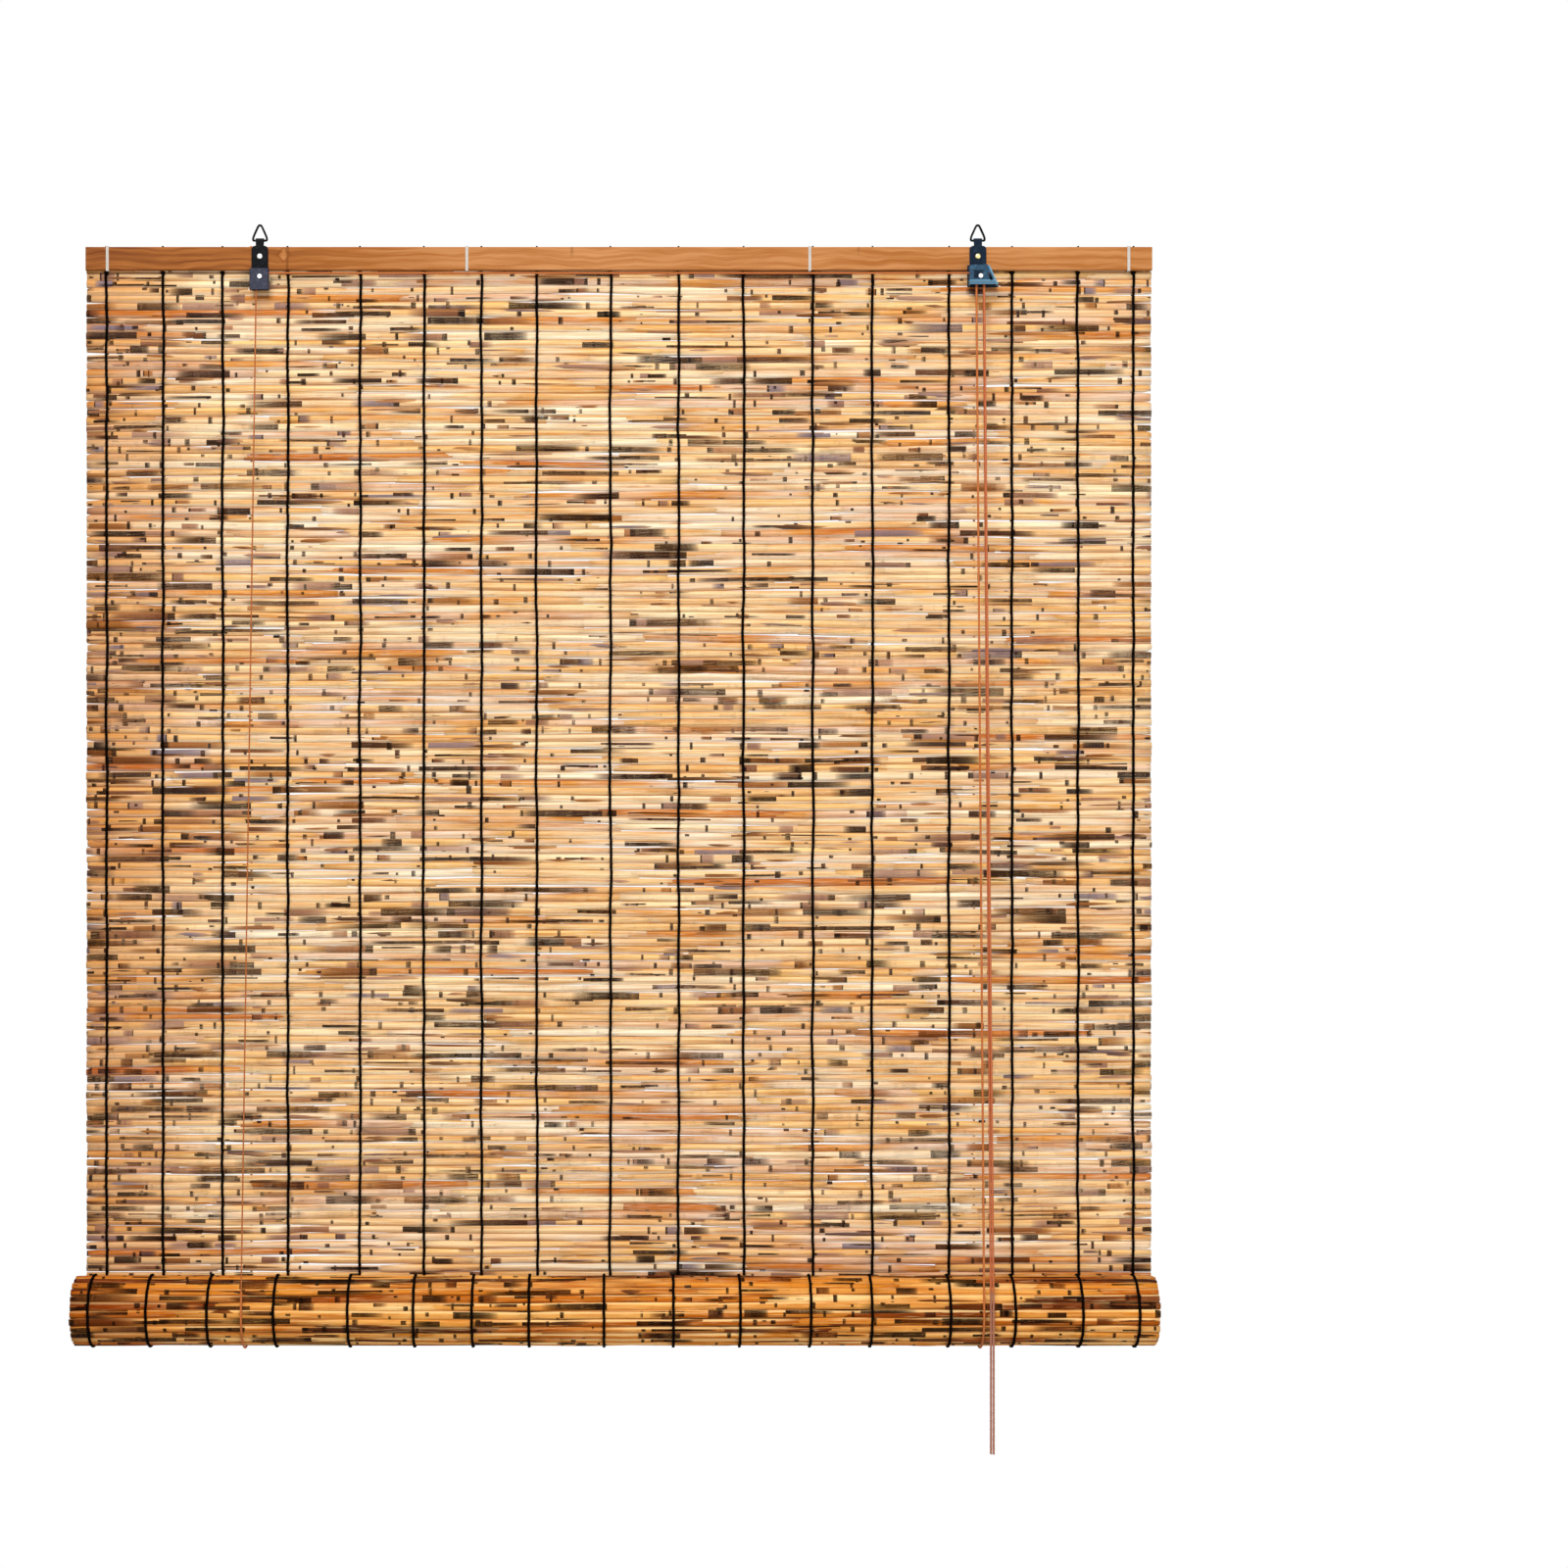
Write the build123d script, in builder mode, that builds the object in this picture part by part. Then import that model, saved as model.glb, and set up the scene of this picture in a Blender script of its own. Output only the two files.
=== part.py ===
"""Roll-up reed blind, hung from two wire rings and drawn up by cords.

A mat of reeds, stitched with black twine, is clamped at its top between two bamboo laths.
Its lower end is wound on the room side into a roll that lies in two cord slings.
Each lift cord runs from a knot on the rear lath, down behind the mat, under the roll and up the front:
the left one over a pulley and along the head rail, the right one straight into the cord lock.

Frame: X to the right, Y away from the room, Z up, with the origin midway between the two rings,
at the inside top of the wire, where the hooks bear. Sizes are in millimetres.
"""

import os
from math import atan2, cos, degrees, hypot, pi, radians, sin, sqrt

from build123d import *

# Reed mat
mat_width = 1000.0
mat_drop = 989.68
mat_thickness = 5.4
reed_spacing = 7.12
reed_groove_depth = 1.1
reed_shoulder_share = 0.24
mat_top_inset = 1.0
gap_count = 44
gap_length = 320.0
gap_height = 1.1
gap_edge_inset = 24.0
gap_place_share = 0.382
gap_margin_count = 6
gap_row_step_count = 37

# Stitching twine: places across the mat, as shares of its width
twine_width = 2.2
twine_thickness = 1.1
twine_start_drop = 1.4
twine_end_share = 0.5
twine_shares = (
    0.019, 0.072, 0.128, 0.189, 0.257, 0.317, 0.371, 0.423, 0.492,
    0.556, 0.617, 0.682, 0.738, 0.810, 0.869, 0.931, 0.983,
)

# Roll at the foot of the mat, wound in half turns that step in by half a turn's pitch
roll_turn_pitch = 6.0
roll_half_turns = 6
roll_core_radius = 13.6
roll_skew = 3.7
batten_height = 22.0
batten_thickness = 6.0
batten_edge_chamfer = 1.0

# Head rail laths and the ties round them
lath_height = 22.0
lath_thickness = 4.5
lath_edge_chamfer = 0.9
tie_width = 2.6
tie_thickness = 0.6
tie_shares = (0.0205, 0.3575, 0.679, 0.978)

# Hanger rings
hanger_inset = 163.5
ring_wire = 1.6
ring_inner_height = 12.2
ring_half_base = 6.4
ring_bend_radius = 1.8
ring_bend_steps = 4
ring_wire_sides = 8
ring_joint_gap = 0.2

# Hanger plates, bent from strap
plate_thickness = 1.2
plate_width = 15.6
plate_neck_width = 7.6
plate_neck_height = 6.0
plate_rise = 0.7
plate_shoulder_radius = 3.5

# Pulley wheels and their rivets
wheel_drop = 7.0
wheel_offset = 0.7
lock_roller_offset = 1.45
wheel_cord_radius = 3.6
wheel_flange_radius = 4.6
wheel_land = 0.9
lock_cord_spread = 3.0
rivet_radius = 1.2
rivet_head_radius = 2.0
rivet_head_height = 1.0

# Pulley housing on the left hanger
housing_width = 18.0
housing_height = 20.0
housing_lap = 0.8
housing_chamfer = 1.2
housing_wall = 1.0

# Cord lock on the right hanger: a pressed cover with one sloping side
lock_left = 8.9
lock_top_right = 9.5
lock_bottom_right = 17.7
lock_height = 18.4
lock_lap = 3.4
lock_rim = 1.0
lock_chamfer = 1.2
lock_band_height = 3.6
lock_band_proud = 0.8
lock_panel_width = 11.0
lock_panel_height = 7.6
lock_panel_depth = 0.4
barrel_radius = 2.5
barrel_trunnion_radius = 1.0
barrel_travel = 6.0

# Cords
cord_radius = 1.1
cord_sides = 6
cord_bend_steps = 4
sling_bend_steps = 12
left_sling_outset = 9.5
right_sling_outset = 2.15
pull_cord_spacing = 2.3
pull_cord_clearance = 0.8
pull_cord_depth_step = 1.2
pull_cord_tail = 92.0
knot_radius = 2.4
knot_height = 3.4
knot_chamfer = 0.9

# Clearances
touch_gap = 0.1
running_gap = 0.3
pivot_gap = 0.05
groove_gap = 0.1
cut_overrun = 1.0

# Places that follow from the sizes above
hinge_z = -ring_inner_height - ring_wire / 2
curl_inner_radius = ring_wire / 2 + pivot_gap
plate_back_y = -curl_inner_radius
plate_front_y = plate_back_y - plate_thickness
lath_top_z = hinge_z - plate_neck_height
lath_bottom_z = lath_top_z - lath_height
front_lath_back_y = plate_back_y + lath_thickness
mat_front_y = front_lath_back_y + touch_gap
mat_back_y = mat_front_y + mat_thickness
rear_lath_front_y = mat_back_y + touch_gap
rear_lath_back_y = rear_lath_front_y + lath_thickness
mat_top_z = lath_top_z - mat_top_inset
reed_rows = round(mat_drop / reed_spacing)
reed_pitch = mat_drop / reed_rows
roll_radius = roll_core_radius + mat_thickness + (roll_half_turns - 1) * roll_turn_pitch / 2
roll_y = mat_back_y - roll_radius
roll_z = mat_top_z - mat_drop
right_x = mat_width / 2 - hanger_inset
left_x = -right_x
wheel_z = lath_bottom_z - wheel_drop
cord_top_z = wheel_z + wheel_cord_radius
left_wheel_x = left_x + wheel_offset
lock_roller_x = right_x + lock_roller_offset
groove_width = 2 * (cord_radius + groove_gap)
groove_root_radius = wheel_cord_radius - cord_radius - groove_gap
wheel_bore_radius = rivet_radius + pivot_gap
left_wheel_width = groove_width + 2 * wheel_land
cord_layer_inset = running_gap + left_wheel_width / 2
housing_inner_depth = 2 * cord_layer_inset
lock_inner_depth = 2 * cord_layer_inset + lock_cord_spread
lock_roller_width = lock_inner_depth - 2 * running_gap
lock_roller_y = plate_front_y - lock_inner_depth / 2
rear_layer_y = plate_front_y - cord_layer_inset
front_layer_y = rear_layer_y - lock_cord_spread
housing_top_z = lath_bottom_z + housing_lap
housing_bottom_z = housing_top_z - housing_height
lock_top_z = lath_bottom_z + lock_lap
lock_bottom_z = lock_top_z - lock_height
lock_front_y = plate_front_y - lock_inner_depth - housing_wall
sling_radius = roll_radius + running_gap + cord_radius
left_sling_x = left_x - left_sling_outset
right_sling_x = right_x - right_sling_outset
twine_places = [mat_width * (share - 0.5) for share in twine_shares]
tie_places = [mat_width * (share - 0.5) for share in tie_shares]

os.makedirs("parts", exist_ok=True)


def write(part, label):
    """Names a finished piece and writes it as one STEP file."""
    part.label = label
    export_step(part, f"parts/{label}.step")


def facing_room(y):
    """A sketch plane seen from the room: local axes X and Z, extruding towards the room from depth y."""
    return Plane.XZ.offset(-y)


def across(x):
    """A sketch plane across the blind: local axes Y and Z, extruding to the right from x."""
    return Plane.YZ.offset(x)


# Outline of one reed: shares of the pitch, each with its depth below the crest
reed_outline = (
    (0, reed_groove_depth),
    (reed_shoulder_share, 0),
    (1 - reed_shoulder_share, 0),
)

# Reed mat: one ridged wall, with long slits where reeds lie apart, and short ones at the ties
with BuildPart() as reed_mat:
    mat_bottom_z = roll_z + running_gap
    with BuildSketch(across(-mat_width / 2)):
        with BuildLine():
            front_points = []
            back_points = []
            for row in range(reed_rows):
                row_top_z = mat_top_z - row * reed_pitch
                for share, depth in reed_outline:
                    point_z = row_top_z - share * reed_pitch
                    front_points.append((mat_front_y + depth, point_z))
                    back_points.append((mat_back_y - depth, point_z))
            front_points.append((mat_front_y + reed_groove_depth, mat_bottom_z))
            back_points.append((mat_back_y - reed_groove_depth, mat_bottom_z))
            Polyline(*front_points, *reversed(back_points), close=True)
        make_face()
    extrude(amount=mat_width)
    mat_middle_y = (mat_front_y + mat_back_y) / 2
    gap_rows = reed_rows - 2 * gap_margin_count
    gap_reach = (mat_width - gap_length) / 2 - gap_edge_inset
    gap_spots = []
    for gap in range(gap_count):
        gap_row = gap_margin_count + gap * gap_row_step_count % gap_rows
        gap_x = gap_reach * (2 * (gap * gap_place_share % 1) - 1)
        gap_spots.append((gap_x, mat_middle_y, mat_top_z - gap_row * reed_pitch))
    with Locations(*gap_spots):
        Box(gap_length, mat_thickness + cut_overrun, gap_height, mode=Mode.SUBTRACT)
    with Locations(*[(x, mat_middle_y, lath_bottom_z - tie_thickness / 2) for x in tie_places]):
        Box(
            tie_width + 2 * touch_gap,
            mat_thickness + cut_overrun,
            tie_thickness + 2 * touch_gap,
            mode=Mode.SUBTRACT,
        )
write(reed_mat.part, "reed_mat")

# Stitching twine: a strand down each face of the mat at every stitch line
with BuildPart() as mat_twine:
    twine_top_z = lath_bottom_z - twine_start_drop
    front_strand = (mat_front_y - touch_gap - twine_thickness / 2, roll_z + twine_end_share * roll_radius)
    rear_strand = (mat_back_y + touch_gap + twine_thickness / 2, roll_z + running_gap)
    for strand_y, strand_end_z in (front_strand, rear_strand):
        with Locations(*[(x, strand_y, (twine_top_z + strand_end_z) / 2) for x in twine_places]):
            Box(twine_width, twine_thickness, twine_top_z - strand_end_z)
write(mat_twine.part, "mat_twine")


def half_turn_centre(turn):
    """Bottom halves are centred on the roll's axis, and top halves half a pitch nearer to the room."""
    return roll_y - (turn % 2) * roll_turn_pitch / 2


def half_turn_radius(turn):
    """Outer radius of a half turn, which loses half a pitch each time."""
    return roll_radius - turn * roll_turn_pitch / 2


def half_turn_arc(turn, radius):
    """Smooth half turn: from the back, under to the front, or from the front, over to the back."""
    way = -1 if turn % 2 else 1
    middle_y = half_turn_centre(turn)
    ThreePointArc(
        (middle_y + way * radius, roll_z),
        (middle_y, roll_z - way * radius),
        (middle_y - way * radius, roll_z),
    )


def half_turn_reeds(turn):
    """Ridged half turn for the outside of the roll."""
    radius = half_turn_radius(turn)
    middle_y = half_turn_centre(turn)
    reeds = round(pi * radius / reed_pitch)
    start_angle = 180.0 * (turn % 2)
    outline = [(reed + share, depth) for reed in range(reeds) for share, depth in reed_outline]
    # The outer half turns meet in a groove, and the second runs out level with the smooth turn after it
    outline.append((reeds, 0 if turn else reed_groove_depth))
    points = []
    for step, depth in outline:
        angle = radians(start_angle - 180.0 * step / reeds)
        reach = radius - depth
        points.append((middle_y + reach * cos(angle), roll_z + reach * sin(angle)))
    Polyline(*points)


# Roll of mat: a spiral wall whose outermost turn shows its reeds
with BuildPart() as mat_roll:
    last_turn = roll_half_turns - 1
    with BuildSketch(across(-mat_width / 2 - roll_skew)):
        with BuildLine():
            for turn in range(roll_half_turns):
                if turn < 2:
                    half_turn_reeds(turn)
                else:
                    half_turn_arc(turn, half_turn_radius(turn))
                half_turn_arc(turn, half_turn_radius(turn) - mat_thickness)
            for turn, way, depth in ((0, 1, reed_groove_depth), (last_turn, 1 if last_turn % 2 else -1, 0)):
                end_y = half_turn_centre(turn) + way * half_turn_radius(turn)
                Line((end_y - way * depth, roll_z), (end_y - way * mat_thickness, roll_z))
        make_face()
    extrude(amount=mat_width)
write(mat_roll.part, "mat_roll")

# Bottom batten, lying on the floor of the roll's core
with BuildPart() as bottom_batten:
    floor_turn = last_turn - last_turn % 2
    floor_radius = half_turn_radius(floor_turn) - mat_thickness
    batten_foot_z = roll_z - sqrt(floor_radius**2 - (batten_thickness / 2) ** 2) + running_gap
    with BuildSketch(across(-mat_width / 2 - roll_skew)):
        with Locations((roll_y, batten_foot_z + batten_height / 2)):
            edge = Rectangle(batten_thickness, batten_height)
        chamfer(edge.vertices(), batten_edge_chamfer)
    extrude(amount=mat_width)
write(bottom_batten.part, "bottom_batten")

# Front lath
with BuildPart() as front_lath:
    with BuildSketch(across(-mat_width / 2)):
        with Locations(((plate_back_y + front_lath_back_y) / 2, (lath_top_z + lath_bottom_z) / 2)):
            edge = Rectangle(lath_thickness, lath_height)
        chamfer(edge.vertices(), lath_edge_chamfer)
    extrude(amount=mat_width)
write(front_lath.part, "front_lath")

# Rear lath, notched on its mat side for the lift cords
strand_rear_y = roll_y + sling_radius
strand_front_y = roll_y - sling_radius
with BuildPart() as rear_lath:
    with BuildSketch(across(-mat_width / 2)):
        with Locations(((rear_lath_front_y + rear_lath_back_y) / 2, (lath_top_z + lath_bottom_z) / 2)):
            edge = Rectangle(lath_thickness, lath_height)
        chamfer(edge.vertices(), lath_edge_chamfer)
    extrude(amount=mat_width)
    notch_width = 2 * (cord_radius + groove_gap)
    notch_y = strand_rear_y + cord_radius + groove_gap - notch_width / 2
    notch_z = (lath_top_z + lath_bottom_z) / 2
    with Locations((left_sling_x, notch_y, notch_z), (right_sling_x, notch_y, notch_z)):
        Box(notch_width, notch_width, lath_height + cut_overrun, mode=Mode.SUBTRACT)
write(rear_lath.part, "rear_lath")

# White ties: closed bands round both laths, through the slits in the mat
with BuildPart() as lath_ties:
    for x in tie_places:
        with BuildSketch(across(x - tie_width / 2)):
            with Locations(
                ((plate_back_y + rear_lath_back_y) / 2, (lath_top_z + lath_bottom_z) / 2)
            ):
                rail_depth = rear_lath_back_y - plate_back_y
                Rectangle(rail_depth + 2 * tie_thickness, lath_height + 2 * tie_thickness)
                Rectangle(rail_depth, lath_height, mode=Mode.SUBTRACT)
        extrude(amount=tie_width)
write(lath_ties.part, "lath_ties")


def faceted(smooth, bend_steps):
    """The same line with each bend as a few short straight runs, which keeps thin wire and cord light."""
    stations = [smooth.wire() @ 0]
    for edge in smooth.wire().order_edges():
        if edge.geom_type == GeomType.CIRCLE:
            corner_reach = 1 / cos(edge.length / edge.radius / bend_steps / 2)
            for step in range(bend_steps):
                spoke = edge @ ((step + 0.5) / bend_steps) - edge.arc_center
                stations.append(edge.arc_center + spoke * corner_reach)
    stations.append(smooth.wire() @ 1)
    with BuildLine() as bend:
        Polyline(*stations)
    return bend


def hanger_ring(x):
    """Wire ring bent to a tall triangle, whose base bar turns in the curl of the hanger plate."""
    # The sharp apex lies above the rounded one, so that the wire's inside top is at the origin's height
    base_to_top = ring_inner_height + ring_wire
    lean = (ring_bend_radius / ring_half_base) ** 2
    rounding = ring_bend_radius - base_to_top
    apex_height = (-rounding + sqrt(rounding**2 - (1 - lean) * (rounding**2 - ring_bend_radius**2))) / (
        1 - lean
    )
    with BuildLine() as smooth:
        FilletPolyline(
            (x - ring_joint_gap / 2, 0, hinge_z),
            (x - ring_half_base, 0, hinge_z),
            (x, 0, hinge_z + apex_height),
            (x + ring_half_base, 0, hinge_z),
            (x + ring_joint_gap / 2, 0, hinge_z),
            radius=ring_bend_radius,
        )
    bend = faceted(smooth, ring_bend_steps)
    with BuildPart() as ring:
        with BuildSketch(Plane(origin=bend.line @ 0, z_dir=bend.line % 0)):
            RegularPolygon(ring_wire / 2, ring_wire_sides)
        sweep(path=bend.line, transition=Transition.RIGHT)
    return ring.part


write(hanger_ring(left_x), "left_hanger_ring")
write(hanger_ring(right_x), "right_hanger_ring")

# Cord lock outline: upright on the left, sloping outwards to the foot on the right
lock_outline = (
    (right_x - lock_left, lock_top_z),
    (right_x + lock_top_right, lock_top_z),
    (right_x + lock_bottom_right, lock_bottom_z),
    (right_x - lock_left, lock_bottom_z),
)
slope_length = hypot(lock_bottom_right - lock_top_right, lock_height)
slope_right = (lock_bottom_right - lock_top_right) / slope_length
slope_down = lock_height / slope_length

# The barrel rests between the pull cords and the sloping wall, and drops along that wall to let go
barrel_x = lock_roller_x + wheel_cord_radius + cord_radius + running_gap + barrel_radius
barrel_from_wall = housing_wall + running_gap + barrel_radius
barrel_along = (barrel_x - right_x - lock_top_right + slope_down * barrel_from_wall) / slope_right
barrel_z = lock_top_z - slope_down * barrel_along - slope_right * barrel_from_wall
slot_middle = (
    barrel_x + slope_right * barrel_travel / 2,
    barrel_z - slope_down * barrel_travel / 2,
)
slot_angle = degrees(atan2(-slope_down, slope_right))
slot_width = 2 * (barrel_trunnion_radius + touch_gap)


def hanger_strap(x, bottom_z):
    """Strap with a narrow neck, curled over at the top to hold the ring."""
    body_top_z = lath_top_z + plate_rise
    neck_foot_z = body_top_z - plate_shoulder_radius
    curl_outer_radius = curl_inner_radius + plate_thickness
    with BuildPart() as strap:
        with BuildSketch(facing_room(plate_back_y)):
            with Locations((x, (body_top_z + bottom_z) / 2)):
                body = Rectangle(plate_width, body_top_z - bottom_z)
            fillet(body.vertices().sort_by(Axis.Y)[-2:], plate_shoulder_radius)
            with Locations((x, (hinge_z + neck_foot_z) / 2)):
                Rectangle(plate_neck_width, hinge_z - neck_foot_z)
        extrude(amount=plate_thickness)
        with BuildSketch(across(x - plate_neck_width / 2)):
            with Locations((0, hinge_z)):
                Circle(curl_outer_radius)
                Circle(curl_inner_radius, mode=Mode.SUBTRACT)
            with Locations((-curl_outer_radius / 2, hinge_z - curl_outer_radius / 2)):
                Rectangle(curl_outer_radius, curl_outer_radius, mode=Mode.SUBTRACT)
        extrude(amount=plate_neck_width)
    return strap.part


# Left hanger plate, pierced for the pulley's rivet
left_strap = hanger_strap(left_x, housing_bottom_z)
with BuildPart() as left_hanger_plate:
    add(left_strap)
    with BuildSketch(facing_room(plate_back_y)):
        with Locations((left_wheel_x, wheel_z)):
            Circle(rivet_radius + pivot_gap)
    extrude(amount=plate_thickness, mode=Mode.SUBTRACT)
write(left_hanger_plate.part, "left_hanger_plate")

# Right hanger plate, spread at its foot to back the cord lock
right_strap = hanger_strap(right_x, lock_bottom_z)
with BuildPart() as right_hanger_plate:
    add(right_strap)
    with BuildSketch(facing_room(plate_back_y)):
        with BuildLine():
            Polyline(*lock_outline, close=True)
        make_face()
        offset(amount=lock_rim, kind=Kind.INTERSECTION)
    extrude(amount=plate_thickness)
    with BuildSketch(facing_room(plate_back_y)):
        with Locations((lock_roller_x, wheel_z)):
            Circle(rivet_radius + pivot_gap)
    extrude(amount=plate_thickness, mode=Mode.SUBTRACT)
write(right_hanger_plate.part, "right_hanger_plate")

# Pulley housing: a pressed box, open at the back and the foot, with a mouth for the cord on its right
with BuildPart() as pulley_housing:
    housing_depth = housing_inner_depth + housing_wall
    with BuildSketch(facing_room(plate_front_y)):
        with Locations((left_x, (housing_top_z + housing_bottom_z) / 2)):
            Rectangle(housing_width, housing_height)
    extrude(amount=housing_depth)
    front_face = pulley_housing.faces().sort_by(Axis.Y)[0]
    chamfer(front_face.edges().sort_by(Axis.Z)[1:], housing_chamfer)
    back_face = pulley_housing.faces().sort_by(Axis.Y)[-1]
    foot_face = pulley_housing.faces().sort_by(Axis.Z)[0]
    offset(amount=-housing_wall, openings=[back_face, foot_face])
    mouth_size = 2 * (cord_radius + running_gap)
    with Locations((left_x + housing_width / 2, rear_layer_y, cord_top_z)):
        Box(2 * housing_wall + cut_overrun, mouth_size, mouth_size, mode=Mode.SUBTRACT)
    with BuildSketch(facing_room(plate_front_y)):
        with Locations((left_wheel_x, wheel_z)):
            Circle(rivet_radius + pivot_gap)
    extrude(amount=housing_depth + cut_overrun, mode=Mode.SUBTRACT)
write(pulley_housing.part, "pulley_housing")

# Cord lock cover: a pressed box with a proud band at its foot, a sunk panel and the barrel's front slot
with BuildPart() as lock_cover:
    with BuildSketch(facing_room(plate_front_y)):
        with BuildLine():
            Polyline(*lock_outline, close=True)
        make_face()
    extrude(amount=lock_inner_depth + housing_wall)
    chamfer(lock_cover.edges().filter_by(Axis.Y).sort_by(Axis.Z)[-2:], lock_chamfer)
    back_face = lock_cover.faces().sort_by(Axis.Y)[-1]
    foot_face = lock_cover.faces().sort_by(Axis.Z)[0]
    offset(amount=-housing_wall, openings=[back_face, foot_face])
    band_top_z = lock_bottom_z + lock_band_height
    band_right = right_x + lock_bottom_right - lock_band_height * slope_right / slope_down
    with BuildSketch(facing_room(lock_front_y)):
        with BuildLine():
            Polyline(
                (right_x - lock_left, lock_bottom_z),
                (right_x - lock_left, band_top_z),
                (band_right, band_top_z),
                (right_x + lock_bottom_right, lock_bottom_z),
                close=True,
            )
        make_face()
    extrude(amount=lock_band_proud)
    with BuildSketch(facing_room(lock_front_y)):
        with Locations((lock_roller_x - barrel_radius, wheel_z + lock_panel_height / 5)):
            Rectangle(lock_panel_width, lock_panel_height)
    extrude(amount=-lock_panel_depth, mode=Mode.SUBTRACT)
    with BuildSketch(facing_room(plate_front_y - lock_inner_depth + cut_overrun)):
        with Locations((lock_roller_x, wheel_z)):
            Circle(rivet_radius + pivot_gap)
        with Locations(slot_middle):
            SlotCenterToCenter(barrel_travel, slot_width, rotation=slot_angle)
    extrude(amount=housing_wall + lock_band_proud + 2 * cut_overrun, mode=Mode.SUBTRACT)
    with Locations((right_x - lock_left, rear_layer_y, cord_top_z)):
        Box(2 * housing_wall + cut_overrun, mouth_size, mouth_size, mode=Mode.SUBTRACT)
write(lock_cover.part, "lock_cover")


def turned(axis_x, axis_z, outline):
    """A piece turned about a line from front to back. The outline's points are (depth y, radius)."""
    with BuildPart() as piece:
        with BuildSketch(across(axis_x)):
            with BuildLine():
                Polyline(*[(y, axis_z + radius) for y, radius in outline], close=True)
            make_face()
        revolve(axis=Axis((axis_x, 0, axis_z), (0, 1, 0)))
    return piece.part


def rivet_outline(front_y, back_y):
    """Section of a rivet with a flat head at front_y, and its tail peened flush at back_y."""
    return [
        (front_y - rivet_head_height, 0),
        (front_y - rivet_head_height, rivet_head_radius),
        (front_y, rivet_head_radius),
        (front_y, rivet_radius),
        (back_y, rivet_radius),
        (back_y, 0),
    ]


# Pulley wheel with a square groove
wheel_front_y = rear_layer_y - left_wheel_width / 2
wheel_back_y = rear_layer_y + left_wheel_width / 2
wheel_section = [
    (wheel_front_y, wheel_bore_radius),
    (wheel_front_y, wheel_flange_radius),
    (wheel_front_y + wheel_land, wheel_flange_radius),
    (wheel_front_y + wheel_land, groove_root_radius),
    (wheel_back_y - wheel_land, groove_root_radius),
    (wheel_back_y - wheel_land, wheel_flange_radius),
    (wheel_back_y, wheel_flange_radius),
    (wheel_back_y, wheel_bore_radius),
]
write(turned(left_wheel_x, wheel_z, wheel_section), "pulley_wheel")

# Plain roller that both cords run over in the lock
roller_section = [
    (lock_roller_y - lock_roller_width / 2, wheel_bore_radius),
    (lock_roller_y - lock_roller_width / 2, groove_root_radius),
    (lock_roller_y + lock_roller_width / 2, groove_root_radius),
    (lock_roller_y + lock_roller_width / 2, wheel_bore_radius),
]
write(turned(lock_roller_x, wheel_z, roller_section), "lock_roller")

# Rivets that the wheel and the roller turn on
left_rivet = turned(left_wheel_x, wheel_z, rivet_outline(plate_front_y - housing_depth, plate_back_y))
right_rivet = turned(lock_roller_x, wheel_z, rivet_outline(lock_front_y + lock_panel_depth, plate_back_y))
with BuildPart() as axle_rivets:
    add([left_rivet, right_rivet])
write(axle_rivets.part, "axle_rivets")

# Locking barrel, with a trunnion in the cover's slot
barrel_front_y = plate_front_y - lock_inner_depth + running_gap
barrel_back_y = plate_front_y - running_gap
barrel_section = [
    (lock_front_y, 0),
    (lock_front_y, barrel_trunnion_radius),
    (barrel_front_y, barrel_trunnion_radius),
    (barrel_front_y, barrel_radius),
    (barrel_back_y, barrel_radius),
    (barrel_back_y, 0),
]
write(turned(barrel_x, barrel_z, barrel_section), "lock_barrel")


def cord(route):
    """A cord swept along the line that is passed in as a BuildLine."""
    with BuildPart() as swept:
        with BuildSketch(Plane(origin=route.line @ 0, z_dir=route.line % 0)):
            RegularPolygon(cord_radius, cord_sides)
        sweep(path=route.line, transition=Transition.RIGHT)
    return swept.part


def taut_strand(top, bottom):
    """A straight strand, cut level at both ends so that it meets the cords above and below face to face."""
    run = Vector(bottom) - Vector(top)
    with BuildPart() as strand:
        with BuildSketch(Plane(origin=top)):
            RegularPolygon(cord_radius, cord_sides)
        extrude(amount=run.length, dir=run.normalized())
    print(f"strand of {run.length:.0f} mm")
    return strand.part


# Slings: the parts of the lift cords that the roll lies in, half a turn under it
slings = []
for sling_x in (left_sling_x, right_sling_x):
    with BuildLine() as sling_route:
        ThreePointArc(
            (sling_x, roll_y + sling_radius, roll_z),
            (sling_x, roll_y, roll_z - sling_radius),
            (sling_x, roll_y - sling_radius, roll_z),
        )
    slings.append(cord(faceted(sling_route, sling_bend_steps)))
with BuildPart() as roll_slings:
    add(slings)
write(roll_slings.part, "roll_slings")

# Left lift cord: rear strand from its knot, and front strand up to the pulley
pulley_cord_x = left_wheel_x - wheel_cord_radius
lock_entry_x = lock_roller_x - wheel_cord_radius
lock_exit_x = lock_roller_x + wheel_cord_radius
left_strand_top = (pulley_cord_x, rear_layer_y, wheel_z)
left_strand_bottom = (left_sling_x, strand_front_y, roll_z)
write(taut_strand(left_strand_top, left_strand_bottom), "left_front_cord")
write(
    taut_strand((left_sling_x, strand_rear_y, lath_top_z), (left_sling_x, strand_rear_y, roll_z)),
    "left_rear_cord",
)

# Rail cord: the left cord goes on over the pulley, along the head rail and down through the lock
with BuildLine() as rail_route:
    FilletPolyline(
        left_strand_top,
        (pulley_cord_x, rear_layer_y, cord_top_z),
        (lock_exit_x, rear_layer_y, cord_top_z),
        (lock_exit_x, rear_layer_y, lock_bottom_z),
        radius=wheel_cord_radius * (1 - 1e-4),
    )
rail_cord = cord(faceted(rail_route, cord_bend_steps))

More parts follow.
